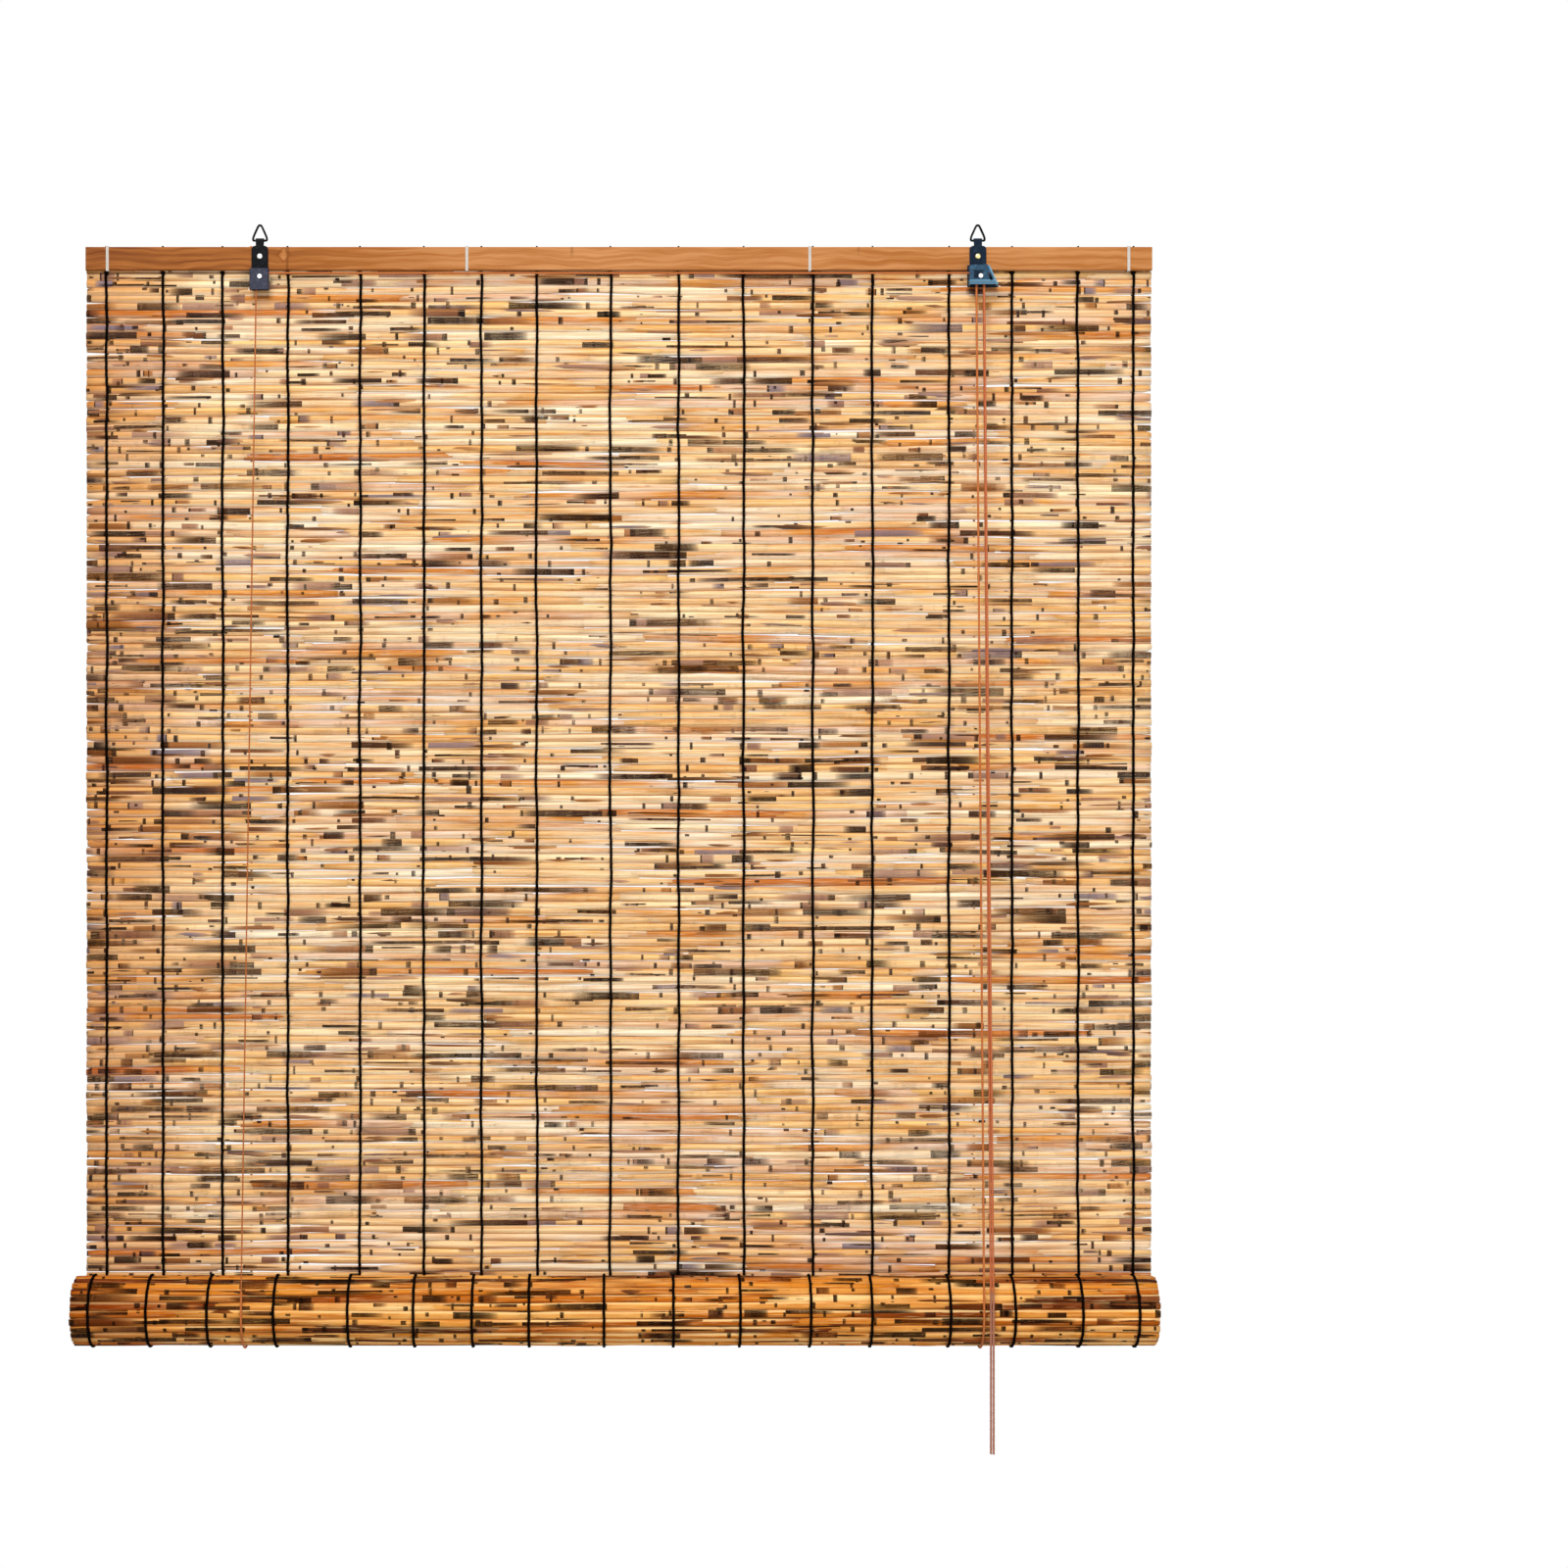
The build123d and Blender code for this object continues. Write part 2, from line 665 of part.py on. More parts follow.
# Right lift cord: rear strand from its knot, and front strand up to the lock
write(
    taut_strand((lock_entry_x, front_layer_y, lock_bottom_z), (right_sling_x, strand_front_y, roll_z)),
    "right_front_cord",
)
write(
    taut_strand((right_sling_x, strand_rear_y, lath_top_z), (right_sling_x, strand_rear_y, roll_z)),
    "right_rear_cord",
)

# Lock cord: the right cord's turn over the lock's roller
with BuildLine() as lock_route:
    FilletPolyline(
        (lock_entry_x, front_layer_y, lock_bottom_z),
        (lock_entry_x, front_layer_y, cord_top_z),
        (lock_exit_x, front_layer_y, cord_top_z),
        (lock_exit_x, front_layer_y, lock_bottom_z),
        radius=wheel_cord_radius * (1 - 1e-4),
    )
lock_cord = cord(faceted(lock_route, cord_bend_steps))

# Both cords at the head rail
with BuildPart() as head_cords:
    add([rail_cord, lock_cord])
write(head_cords.part, "head_cords")

# Pull cords: the two free ends, hanging from the lock in front of the roll
pull_cord_y = strand_front_y - pull_cord_clearance
pull_cord_end_z = roll_z - roll_radius - pull_cord_tail
for side, layer_y, way in (("left", rear_layer_y, -1), ("right", front_layer_y, 1)):
    hang_x = lock_exit_x + way * pull_cord_spacing / 2
    hang_y = pull_cord_y - (way + 1) / 2 * pull_cord_depth_step
    write(
        taut_strand((lock_exit_x, layer_y, lock_bottom_z), (hang_x, hang_y, roll_z)),
        f"{side}_pull_cord_upper",
    )
    with BuildLine() as tail_route:
        Line((hang_x, hang_y, roll_z), (hang_x, hang_y, pull_cord_end_z))
    write(cord(tail_route), f"{side}_pull_cord_lower")

# Knots that stop the lift cords on top of the rear lath
with BuildPart() as cord_knots:
    with BuildSketch(Plane.XY.offset(lath_top_z)):
        with Locations((left_sling_x, strand_rear_y), (right_sling_x, strand_rear_y)):
            RegularPolygon(knot_radius, cord_sides)
    extrude(amount=knot_height)
    chamfer(cord_knots.faces().filter_by(Axis.Z).edges(), knot_chamfer)
write(cord_knots.part, "cord_knots")
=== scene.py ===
import math
from functools import partial

import bpy
from mathutils import Color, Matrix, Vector


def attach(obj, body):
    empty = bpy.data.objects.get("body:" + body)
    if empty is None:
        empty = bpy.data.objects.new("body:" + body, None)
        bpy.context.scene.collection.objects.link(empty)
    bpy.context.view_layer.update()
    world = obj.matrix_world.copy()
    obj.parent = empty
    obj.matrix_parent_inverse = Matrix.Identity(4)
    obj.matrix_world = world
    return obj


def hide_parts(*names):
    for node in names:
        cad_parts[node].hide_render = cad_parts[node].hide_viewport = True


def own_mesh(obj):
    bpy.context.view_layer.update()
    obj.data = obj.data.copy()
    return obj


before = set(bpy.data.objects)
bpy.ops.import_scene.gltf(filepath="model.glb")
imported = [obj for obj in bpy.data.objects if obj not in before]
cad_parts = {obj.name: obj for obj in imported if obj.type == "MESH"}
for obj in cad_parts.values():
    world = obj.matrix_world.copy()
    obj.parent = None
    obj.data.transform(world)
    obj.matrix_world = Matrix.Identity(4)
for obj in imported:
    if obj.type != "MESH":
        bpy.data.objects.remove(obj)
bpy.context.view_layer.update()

# The place where the blind hangs: white all round, and a pale floor well below the pull cords.
# The camera stands straight in front at half the blind's height, with the blind left of the middle.
# One broad lamp hangs above the viewer, and a weaker one stands low at the right.
image_width = 1600
metres_per_pixel = 0.000919
rail_middle_pixel = 631.5
hook_pixel = 231.3
camera_distance = 2.5
sensor_width = 36.0
view_height = -(image_width / 2 - hook_pixel) * metres_per_pixel
lamp_target = (0, 0, -0.55)
upper_lamp_place = (-0.6, -3.0, 2.4)
upper_lamp_width = 2.1
upper_lamp_watts = 172
side_lamp_place = (1.6, -2.2, -1.3)
side_lamp_width = 1.4
side_lamp_watts = 22
sky_strength = 0.395
floor_height = -1.6
floor_radius = 0.6
floor_sides = 64


def feed(tree, socket, value):
    """Give a node's input a fixed value, or the output of another node."""
    if isinstance(value, bpy.types.NodeSocket):
        tree.links.new(value, socket)
    else:
        socket.default_value = value


def add_node(tree, kind, inputs=None, **settings):
    """Place a node in a tree, with its settings and inputs."""
    node = tree.nodes.new(kind)
    for name, value in settings.items():
        setattr(node, name, value)
    for name, value in (inputs or {}).items():
        feed(tree, node.inputs[name], value)
    return node


def calc(tree, operation, *values):
    """The result of one sum in a tree."""
    node = add_node(tree, "ShaderNodeMath", operation=operation)
    for socket, value in zip(node.inputs, values):
        feed(tree, socket, value)
    return node.outputs[0]


def screen_colour(red, green, blue):
    """A colour as a screen shows it, as the linear light that shaders use."""
    shares = Color((red / 255, green / 255, blue / 255))
    return (*shares.from_srgb_to_scene_linear(), 1.0)


def start_material(name, constants=None):
    """A new material with its shader, whose constant inputs are set by name."""
    material = bpy.data.materials.new(name)
    material.use_nodes = True
    shader = material.node_tree.nodes["Principled BSDF"]
    for socket, value in (constants or {}).items():
        shader.inputs[socket].default_value = value
    return material, material.node_tree, shader


def mix_colours(tree, share, first, second, way="MIX"):
    """Two colours mixed by a share."""
    node = add_node(tree, "ShaderNodeMix", data_type="RGBA", blend_type=way)
    feed(tree, node.inputs["Factor"], share)
    feed(tree, node.inputs[6], first)
    feed(tree, node.inputs[7], second)
    return node.outputs[2]


def show(piece):
    """Put an object into the scene."""
    bpy.context.scene.collection.objects.link(piece)
    return piece


def aim_lamp(name, place, width, watts):
    """A square lamp with its face turned to the middle of the blind."""
    lamp = bpy.data.lights.new(name, "AREA")
    lamp.size = width
    lamp.energy = watts
    holder = show(bpy.data.objects.new(name, lamp))
    holder.location = place
    holder.rotation_euler = (Vector(lamp_target) - Vector(place)).to_track_quat("-Z", "Y").to_euler()


camera_lens = bpy.data.cameras.new("camera")
camera_lens.sensor_width = sensor_width
camera_lens.lens = sensor_width * camera_distance / (image_width * metres_per_pixel)
camera_lens.shift_x = (image_width / 2 - rail_middle_pixel) / image_width
camera = show(bpy.data.objects.new("camera", camera_lens))
camera.location = (0, -camera_distance, view_height)
camera.rotation_euler = (math.pi / 2, 0, 0)
bpy.context.scene.camera = camera
bpy.context.scene.view_settings.view_transform = "Standard"

aim_lamp("upper_lamp", upper_lamp_place, upper_lamp_width, upper_lamp_watts)
aim_lamp("side_lamp", side_lamp_place, side_lamp_width, side_lamp_watts)

world = bpy.data.worlds.new("white_room")
world.use_nodes = True
bpy.context.scene.world = world
sky = world.node_tree
ray = add_node(sky, "ShaderNodeLightPath")
seen = calc(sky, "MAXIMUM", ray.outputs["Is Camera Ray"], ray.outputs["Is Glossy Ray"])
seen = calc(sky, "MAXIMUM", seen, ray.outputs["Is Transmission Ray"])
sky_level = calc(sky, "MULTIPLY_ADD", seen, 1 - sky_strength, sky_strength)
sky.nodes["Background"].inputs["Color"].default_value = (1, 1, 1, 1)
feed(sky, sky.nodes["Background"].inputs["Strength"], sky_level)

floor_colour = screen_colour(242, 242, 240)
floor_dim_colour = screen_colour(236, 236, 234)
floor_paint, tree, shader = start_material("floor_paint", {"Roughness": 0.8})
speck = add_node(tree, "ShaderNodeTexNoise", {"Scale": 30.0, "Detail": 3.0})
feed(tree, speck.inputs["Vector"], add_node(tree, "ShaderNodeTexCoord").outputs["Object"])
floor_tone = mix_colours(tree, speck.outputs[0], floor_dim_colour, floor_colour)
feed(tree, shader.inputs["Base Color"], floor_tone)
floor_mesh = bpy.data.meshes.new("floor")
floor_rim = []
for side in range(floor_sides):
    turn = 2 * math.pi * side / floor_sides
    floor_rim.append((floor_radius * math.cos(turn), floor_radius * math.sin(turn), floor_height))
floor_mesh.from_pydata(floor_rim, [], [range(floor_sides)])
floor_mesh.materials.append(floor_paint)
show(bpy.data.objects.new("floor", floor_mesh))

# Head laths and bottom batten: strips split from a bamboo stem, planed, stained and varnished.
# The two laths clamp the top of the mat between them, and the batten stiffens the core of the roll.
# Joints of the stem cross them in three places, and the left end is darker.
bamboo_dark = screen_colour(108, 52, 12)
bamboo_mid = screen_colour(160, 95, 38)
bamboo_pale = screen_colour(195, 135, 82)
bamboo_ridge_depth = 0.0003
paler_from = -0.5
palest_from = -0.05
# Each joint's place along the lath, how strongly it shows and the height at which it fades out
bamboo_joints = ((-0.3105, 0.75, -0.055), (-0.0436, 0.6, -0.033), (0.2244, 0.6, -0.03))
bamboo_joint_colour = screen_colour(104, 54, 20)
bamboo_joint_width = 0.0015
bamboo_joint_fade = 0.012
bamboo_joint_waver = 0.005
knot_place = -0.3142
knot_height = -0.0272
knot_half_width = 0.0062
knot_half_height = 0.0074
grain_drift = 0.014


def start_group(name, inputs, outputs):
    """A new shader group with named inputs and outputs, each given by its kind of socket."""
    group = bpy.data.node_groups.new(name, "ShaderNodeTree")
    for label, kind in inputs.items():
        group.interface.new_socket(label, in_out="INPUT", socket_type="NodeSocket" + kind)
    for label, kind in outputs.items():
        group.interface.new_socket(label, in_out="OUTPUT", socket_type="NodeSocket" + kind)
    return group, group.nodes.new("NodeGroupInput"), group.nodes.new("NodeGroupOutput")


def colour_steps(tree, share, stops, smooth=True):
    """A row of colours that a share picks from."""
    node = add_node(tree, "ShaderNodeValToRGB", {"Fac": share})
    node.color_ramp.interpolation = "LINEAR" if smooth else "CONSTANT"
    while len(node.color_ramp.elements) < len(stops):
        node.color_ramp.elements.new(0)
    for element, (place, shade) in zip(node.color_ramp.elements, stops):
        element.position = place
        element.color = shade
    return node.outputs["Color"]


def ease(tree, value, low, high):
    """A smooth step from 0 at low to 1 at high."""
    node = add_node(tree, "ShaderNodeMapRange", {"Value": value}, interpolation_type="SMOOTHSTEP")
    feed(tree, node.inputs["From Min"], low)
    feed(tree, node.inputs["From Max"], high)
    return node.outputs["Result"]


def vector_of(tree, x, y, z):
    """Three values as a vector."""
    node = add_node(tree, "ShaderNodeCombineXYZ")
    for socket, value in zip(node.inputs, (x, y, z)):
        feed(tree, socket, value)
    return node.outputs[0]


# Plant fibre runs along X: long streaks in the colour and fine ridges in the surface
plant_fibre, entry, leave = start_group(
    "plant_fibre",
    {"Place": "Vector", "Streaks Along": "Float", "Streaks Across": "Float"},
    {"Streak": "Float", "Ridge": "Float"},
)
spread = add_node(plant_fibre, "ShaderNodeCombineXYZ", {"X": entry.outputs["Streaks Along"]})
feed(plant_fibre, spread.inputs["Y"], entry.outputs["Streaks Across"])
feed(plant_fibre, spread.inputs["Z"], entry.outputs["Streaks Across"])
stretched = add_node(plant_fibre, "ShaderNodeVectorMath", operation="MULTIPLY")
feed(plant_fibre, stretched.inputs[0], entry.outputs["Place"])
feed(plant_fibre, stretched.inputs[1], spread.outputs[0])
broad = add_node(plant_fibre, "ShaderNodeTexNoise", {"Scale": 1.0, "Detail": 4.0, "Roughness": 0.6})
feed(plant_fibre, broad.inputs["Vector"], stretched.outputs[0])
fine = add_node(plant_fibre, "ShaderNodeTexNoise", {"Scale": 4.3, "Detail": 2.0})
feed(plant_fibre, fine.inputs["Vector"], stretched.outputs[0])
feed(plant_fibre, leave.inputs["Streak"], ease(plant_fibre, broad.outputs[0], 0.3, 0.7))
feed(plant_fibre, leave.inputs["Ridge"], fine.outputs[0])


def fibre(tree, along, across, place=None):
    """Plant fibre on a piece's own coordinates, or on others that are given."""
    node = add_node(tree, "ShaderNodeGroup", node_tree=plant_fibre)
    feed(tree, node.inputs["Place"], place or add_node(tree, "ShaderNodeTexCoord").outputs["Object"])
    node.inputs["Streaks Along"].default_value = along
    node.inputs["Streaks Across"].default_value = across
    return node.outputs["Streak"], node.outputs["Ridge"]


def roughen(tree, shader, height, depth):
    """Raise a surface by a height pattern, to a depth in metres."""
    bump = add_node(tree, "ShaderNodeBump", {"Height": height, "Distance": depth})
    feed(tree, shader.inputs["Normal"], bump.outputs["Normal"])


bamboo, tree, shader = start_material("stained_bamboo", {"Coat Roughness": 0.4, "Specular IOR Level": 0.1})
cloud = add_node(tree, "ShaderNodeTexNoise", {"Scale": 9.0, "Detail": 3.0})
spot = add_node(tree, "ShaderNodeTexCoord").outputs["Object"]
feed(tree, cloud.inputs["Vector"], spot)
patch = calc(tree, "SUBTRACT", cloud.outputs[0], 0.5)
place = add_node(tree, "ShaderNodeSeparateXYZ", {"Vector": spot})
drift = add_node(tree, "ShaderNodeTexNoise", {"Scale": 1.0, "Detail": 2.0})
drift_x = calc(tree, "MULTIPLY", place.outputs["X"], 18.0)
drift_z = calc(tree, "MULTIPLY", place.outputs["Z"], 30.0)
feed(tree, drift.inputs["Vector"], vector_of(tree, drift_x, 0.0, drift_z))
drifted_z = calc(tree, "MULTIPLY_ADD", drift.outputs[0], grain_drift, place.outputs["Z"])
grain_place = vector_of(tree, place.outputs["X"], place.outputs["Y"], drifted_z)
streak, ridge = fibre(tree, 9.0, 240.0, grain_place)
lit = ease(tree, place.outputs["X"], paler_from, palest_from)
tone = calc(tree, "MULTIPLY_ADD", lit, 0.5, calc(tree, "MULTIPLY", streak, 0.44))
tone = calc(tree, "ADD", tone, calc(tree, "MULTIPLY", patch, 0.5))
ring = 0.0
for joint, strength, faded_height in bamboo_joints:
    beyond = calc(tree, "SUBTRACT", place.outputs["X"], joint)
    beyond = calc(tree, "ABSOLUTE", calc(tree, "MULTIPLY_ADD", patch, bamboo_joint_waver, beyond))
    line = ease(tree, beyond, bamboo_joint_width, bamboo_joint_width * 0.3)
    upper = ease(tree, place.outputs["Z"], faded_height, faded_height + bamboo_joint_fade)
    line = calc(tree, "MULTIPLY", line, calc(tree, "MULTIPLY", upper, strength))
    ring = calc(tree, "MAXIMUM", line, ring)
across = calc(tree, "ABSOLUTE", calc(tree, "SUBTRACT", place.outputs["X"], knot_place))
upward = calc(tree, "ABSOLUTE", calc(tree, "SUBTRACT", place.outputs["Z"], knot_height))
upward = calc(tree, "DIVIDE", upward, knot_half_height)
knot = calc(tree, "ADD", calc(tree, "DIVIDE", across, knot_half_width), upward)
knot = calc(tree, "MULTIPLY_ADD", patch, 1.5, knot)
tone = calc(tree, "MULTIPLY_ADD", ease(tree, knot, 1.0, 0.4), 0.4, tone)
knot_rim = ease(tree, calc(tree, "ABSOLUTE", calc(tree, "SUBTRACT", knot, 1.0)), 0.24, 0.06)
ring = calc(tree, "MAXIMUM", calc(tree, "MULTIPLY", knot_rim, 0.4), ring)
grain = colour_steps(tree, tone, ((0.0, bamboo_dark), (0.45, bamboo_mid), (1.0, bamboo_pale)))
stained = mix_colours(tree, calc(tree, "MULTIPLY", ring, 0.7), grain, bamboo_joint_colour)
feed(tree, shader.inputs["Base Color"], stained)
feed(tree, shader.inputs["Roughness"], calc(tree, "MULTIPLY_ADD", ridge, 0.2, 0.4))
feed(tree, shader.inputs["Coat Weight"], calc(tree, "MULTIPLY", streak, 0.06))
roughen(tree, shader, calc(tree, "SUBTRACT", ridge, calc(tree, "MULTIPLY", ring, 2.0)), bamboo_ridge_depth)


def finish_node(material, *names):
    """Give CAD nodes a material."""
    for name in names:
        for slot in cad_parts[name].material_slots:
            slot.material = material


finish_node(bamboo, "front_lath", "rear_lath", "bottom_batten")

# Reed mat: natural reeds laid in rows, several butted end to end in each, as thick as they grew.
# Dry leaf sheaths still wrap some stretches. The rows wave a little, and light shows through in places.
# It is made in two parts: the rows that stay above the raised roll, and the rest, which gets a mesh of its
# own.
mat_width = 1.0
reed_pitch = 0.00712
mat_top = -0.020
mat_depth_middle = 0.00645
reed_height = 0.0073
reed_depth = 0.0052
standing_rows = 12
hanging_rows = 127
reed_sides = 8
row_wave = 0.006
row_ripple = 0.0018
trim_length = 0.03
trim_unevenness = 0.004
reed_ridge_depth = 0.0004
sheath_ridge_depth = 0.0005
aged_from = -0.36
aged_full = -0.49
stain_cell = 0.085
sliver_cell = 0.12
speck_cell = 0.045

straw_shades = (
    (0.00, screen_colour(255, 242, 212)),
    (0.12, screen_colour(252, 224, 176)),
    (0.26, screen_colour(249, 212, 154)),
    (0.40, screen_colour(242, 196, 122)),
    (0.52, screen_colour(250, 228, 198)),
    (0.64, screen_colour(243, 204, 146)),
    (0.76, screen_colour(236, 182, 106)),
    (0.86, screen_colour(234, 206, 182)),
    (0.94, screen_colour(226, 160, 80)),
    (1.00, screen_colour(206, 128, 60)),
)
stain_shades = (
    (0.00, screen_colour(92, 44, 14)),
    (0.16, screen_colour(152, 90, 40)),
    (0.30, screen_colour(162, 124, 106)),
    (0.44, screen_colour(116, 66, 40)),
    (0.56, screen_colour(54, 24, 10)),
    (0.66, screen_colour(160, 100, 48)),
    (0.80, screen_colour(126, 112, 120)),
    (0.90, screen_colour(84, 48, 34)),
    (1.00, screen_colour(34, 14, 6)),
)
burnt_shades = (
    (0.00, screen_colour(18, 8, 4)),
    (0.40, screen_colour(42, 20, 10)),
    (0.60, screen_colour(34, 28, 30)),
    (0.80, screen_colour(72, 38, 16)),
    (1.00, screen_colour(12, 6, 4)),
)
stub_shades = (
    (0.00, screen_colour(24, 14, 10)),
    (0.70, screen_colour(60, 34, 18)),
    (1.00, screen_colour(110, 66, 34)),
)
weather_tint = screen_colour(206, 160, 112)
worn_sheath_colour = screen_colour(214, 160, 104)
worn_stub_colour = screen_colour(70, 42, 24)


def start_tree(name, inputs):
    """A new geometry tree that takes and gives geometry, with named inputs of given kinds."""
    tree = bpy.data.node_groups.new(name, "GeometryNodeTree")
    tree.interface.new_socket("Geometry", in_out="INPUT", socket_type="NodeSocketGeometry")
    tree.interface.new_socket("Geometry", in_out="OUTPUT", socket_type="NodeSocketGeometry")
    for label, kind in inputs.items():
        tree.interface.new_socket(label, in_out="INPUT", socket_type="NodeSocket" + kind)
    return tree, tree.nodes.new("NodeGroupInput"), tree.nodes.new("NodeGroupOutput")


def chance(tree, low, high, seed):
    """A random value for each point."""
    node = add_node(tree, "FunctionNodeRandomValue", data_type="FLOAT")
    feed(tree, node.inputs[2], low)
    feed(tree, node.inputs[3], high)
    feed(tree, node.inputs["Seed"], seed)
    return node.outputs[1]


def keep_value(tree, geometry, label, value, kind="FLOAT"):
    """Store a value on the points of a geometry, for later nodes and the materials to read."""
    node = add_node(tree, "GeometryNodeStoreNamedAttribute", {"Geometry": geometry, "Name": label})
    node.data_type = kind
    node.domain = "POINT"
    feed(tree, node.inputs["Value"], value)
    return node.outputs["Geometry"]


def kept_value(tree, label, kind="FLOAT"):
    """A value that was stored on the points."""
    node = add_node(tree, "GeometryNodeInputNamedAttribute", {"Name": label}, data_type=kind)
    return node.outputs["Attribute"]


def vector_sum(tree, operation, first, second):
    """The result of one sum with vectors, or of a vector scaled by a value."""
    node = add_node(tree, "ShaderNodeVectorMath", operation=operation)
    feed(tree, node.inputs[0], first)
    feed(tree, node.inputs["Scale" if operation == "SCALE" else 1], second)
    return node.outputs[0]


# Rows of reeds along a path: each row is cut into cells, and a reed fills all or a share of its cell
reed_rows, entry, leave = start_tree(
    "reed_rows",
    {
        "Rows": "Int", "First Row": "Int", "Reeds per Row": "Int", "Shortest Cell": "Float",
        "Longest Cell": "Float", "Least Fill": "Float", "Most Fill": "Float", "Kept Share": "Float",
        "Thinnest": "Float", "Thickest": "Float", "Proud": "Float", "Drift": "Float", "Slant": "Float",
        "Swell": "Float", "Tip": "Float", "Tip Length": "Float", "Height": "Float", "Depth": "Float",
        "Width": "Float", "Middle": "Float", "Segments": "Int", "Wave": "Float", "Ripple": "Float",
        "Seed": "Int", "Material": "Material",
    },
)
given = entry.outputs
row_calc = partial(calc, reed_rows)
row_inputs = {"Curve": given["Geometry"], "Count": given["Rows"]}
rows = add_node(reed_rows, "GeometryNodeResampleCurve", row_inputs, mode="COUNT")
row_points = add_node(reed_rows, "GeometryNodeCurveToPoints", {"Curve": rows.outputs[0]}, mode="EVALUATED")
index = add_node(reed_rows, "GeometryNodeInputIndex").outputs[0]
row_number = row_calc("ADD", index, given["First Row"])
numbered = keep_value(reed_rows, row_points.outputs["Points"], "reed_row", row_number)
cells = add_node(reed_rows, "GeometryNodeDuplicateElements", {"Geometry": numbered}, domain="POINT")
feed(reed_rows, cells.inputs["Amount"], given["Reeds per Row"])
row_number = kept_value(reed_rows, "reed_row")
first_seed = row_calc("MULTIPLY_ADD", given["First Row"], 100.0, given["Seed"])
seeds = []
for draw in range(9):
    seeds.append(row_calc("MULTIPLY_ADD", first_seed, 10.0, float(draw)))
cell_weight = chance(reed_rows, given["Shortest Cell"], given["Longest Cell"], seeds[0])
running = add_node(reed_rows, "GeometryNodeAccumulateField", data_type="FLOAT", domain="POINT")
feed(reed_rows, running.inputs["Value"], cell_weight)
feed(reed_rows, running.inputs["Group ID"], row_number)
untrimmed = row_calc("ADD", given["Width"], 2 * trim_length)
weight_length = row_calc("DIVIDE", untrimmed, running.outputs["Total"])
cell_start = row_calc("MULTIPLY", running.outputs["Trailing"], weight_length)
cell_length = row_calc("MULTIPLY", cell_weight, weight_length)
fill = chance(reed_rows, given["Least Fill"], given["Most Fill"], seeds[1])
reed_length = row_calc("MULTIPLY", cell_length, fill)
slack = row_calc("SUBTRACT", cell_length, reed_length)
reed_start = row_calc("MULTIPLY_ADD", slack, chance(reed_rows, 0.0, 1.0, seeds[2]), cell_start)
reed_middle = row_calc("MULTIPLY_ADD", reed_length, 0.5, reed_start)
left_edge = row_calc("MULTIPLY_ADD", given["Width"], -0.5, given["Middle"])
right_edge = row_calc("MULTIPLY_ADD", given["Width"], 0.5, given["Middle"])
reed_x = row_calc("ADD", row_calc("SUBTRACT", left_edge, trim_length), reed_middle)
raised = chance(reed_rows, row_calc("MULTIPLY", given["Drift"], -1.0), given["Drift"], seeds[7])
rise = row_calc("MULTIPLY", raised, given["Height"])
raise_by = vector_sum(reed_rows, "SCALE", row_points.outputs["Tangent"], rise)
placed = add_node(reed_rows, "GeometryNodeSetPosition", {"Geometry": cells.outputs["Geometry"]})
reed_move = vector_sum(reed_rows, "ADD", raise_by, vector_of(reed_rows, reed_x, 0.0, 0.0))
feed(reed_rows, placed.inputs["Offset"], reed_move)
slant = row_calc("MULTIPLY", chance(reed_rows, -1.0, 1.0, seeds[8]), given["Slant"])
valued = keep_value(reed_rows, placed.outputs[0], "reed_tone", chance(reed_rows, 0.0, 1.0, seeds[3]))
valued = keep_value(reed_rows, valued, "reed_length", reed_length)
valued = keep_value(reed_rows, valued, "reed_slant", slant)
here = add_node(reed_rows, "GeometryNodeInputPosition").outputs[0]
valued = keep_value(reed_rows, valued, "reed_axis", here, "FLOAT_VECTOR")
stem = add_node(reed_rows, "GeometryNodeMeshCylinder", {"Vertices": reed_sides, "Radius": 0.5, "Depth": 1.0})
feed(reed_rows, stem.inputs["Side Segments"], given["Segments"])
smooth = add_node(reed_rows, "GeometryNodeSetShadeSmooth", {"Geometry": stem.outputs["Mesh"]}, domain="FACE")
feed(reed_rows, smooth.inputs["Selection"], stem.outputs["Side"])
lying = add_node(reed_rows, "GeometryNodeTransform", {"Geometry": smooth.outputs[0]})
lying.inputs["Rotation"].default_value = (0, math.pi / 2, 0)
stem_place = add_node(reed_rows, "ShaderNodeSeparateXYZ", {"Vector": here})
stem_along = row_calc("ADD", stem_place.outputs["X"], 0.5)
stem_mesh = keep_value(reed_rows, lying.outputs[0], "reed_along", stem_along)
stem_mesh = keep_value(reed_rows, stem_mesh, "reed_up", stem_place.outputs["Z"])
run = add_node(reed_rows, "ShaderNodeSeparateXYZ", {"Vector": row_points.outputs["Tangent"]})
lean = row_calc("ARCTAN2", row_calc("MULTIPLY", run.outputs["Y"], -1.0), run.outputs["Z"])
girth = chance(reed_rows, given["Thinnest"], given["Thickest"], seeds[4])
high = row_calc("MULTIPLY", given["Height"], girth)
curve_share = row_calc("MULTIPLY", row_calc("MULTIPLY", raised, raised), -4.0)
curve_share = row_calc("MAXIMUM", row_calc("ADD", curve_share, 1.0), 0.62)
curve_share = row_calc("SQRT", curve_share)
flatness = row_calc("MULTIPLY", chance(reed_rows, 0.93, 1.0, seeds[5]), given["Proud"])
deep = row_calc("MULTIPLY", given["Depth"], row_calc("MULTIPLY", flatness, curve_share))
kept = row_calc("LESS_THAN", chance(reed_rows, 0.0, 1.0, seeds[6]), given["Kept Share"])
laid = add_node(reed_rows, "GeometryNodeInstanceOnPoints", {"Points": valued, "Instance": stem_mesh})
feed(reed_rows, laid.inputs["Selection"], kept)
feed(reed_rows, laid.inputs["Rotation"], vector_of(reed_rows, lean, 0.0, 0.0))
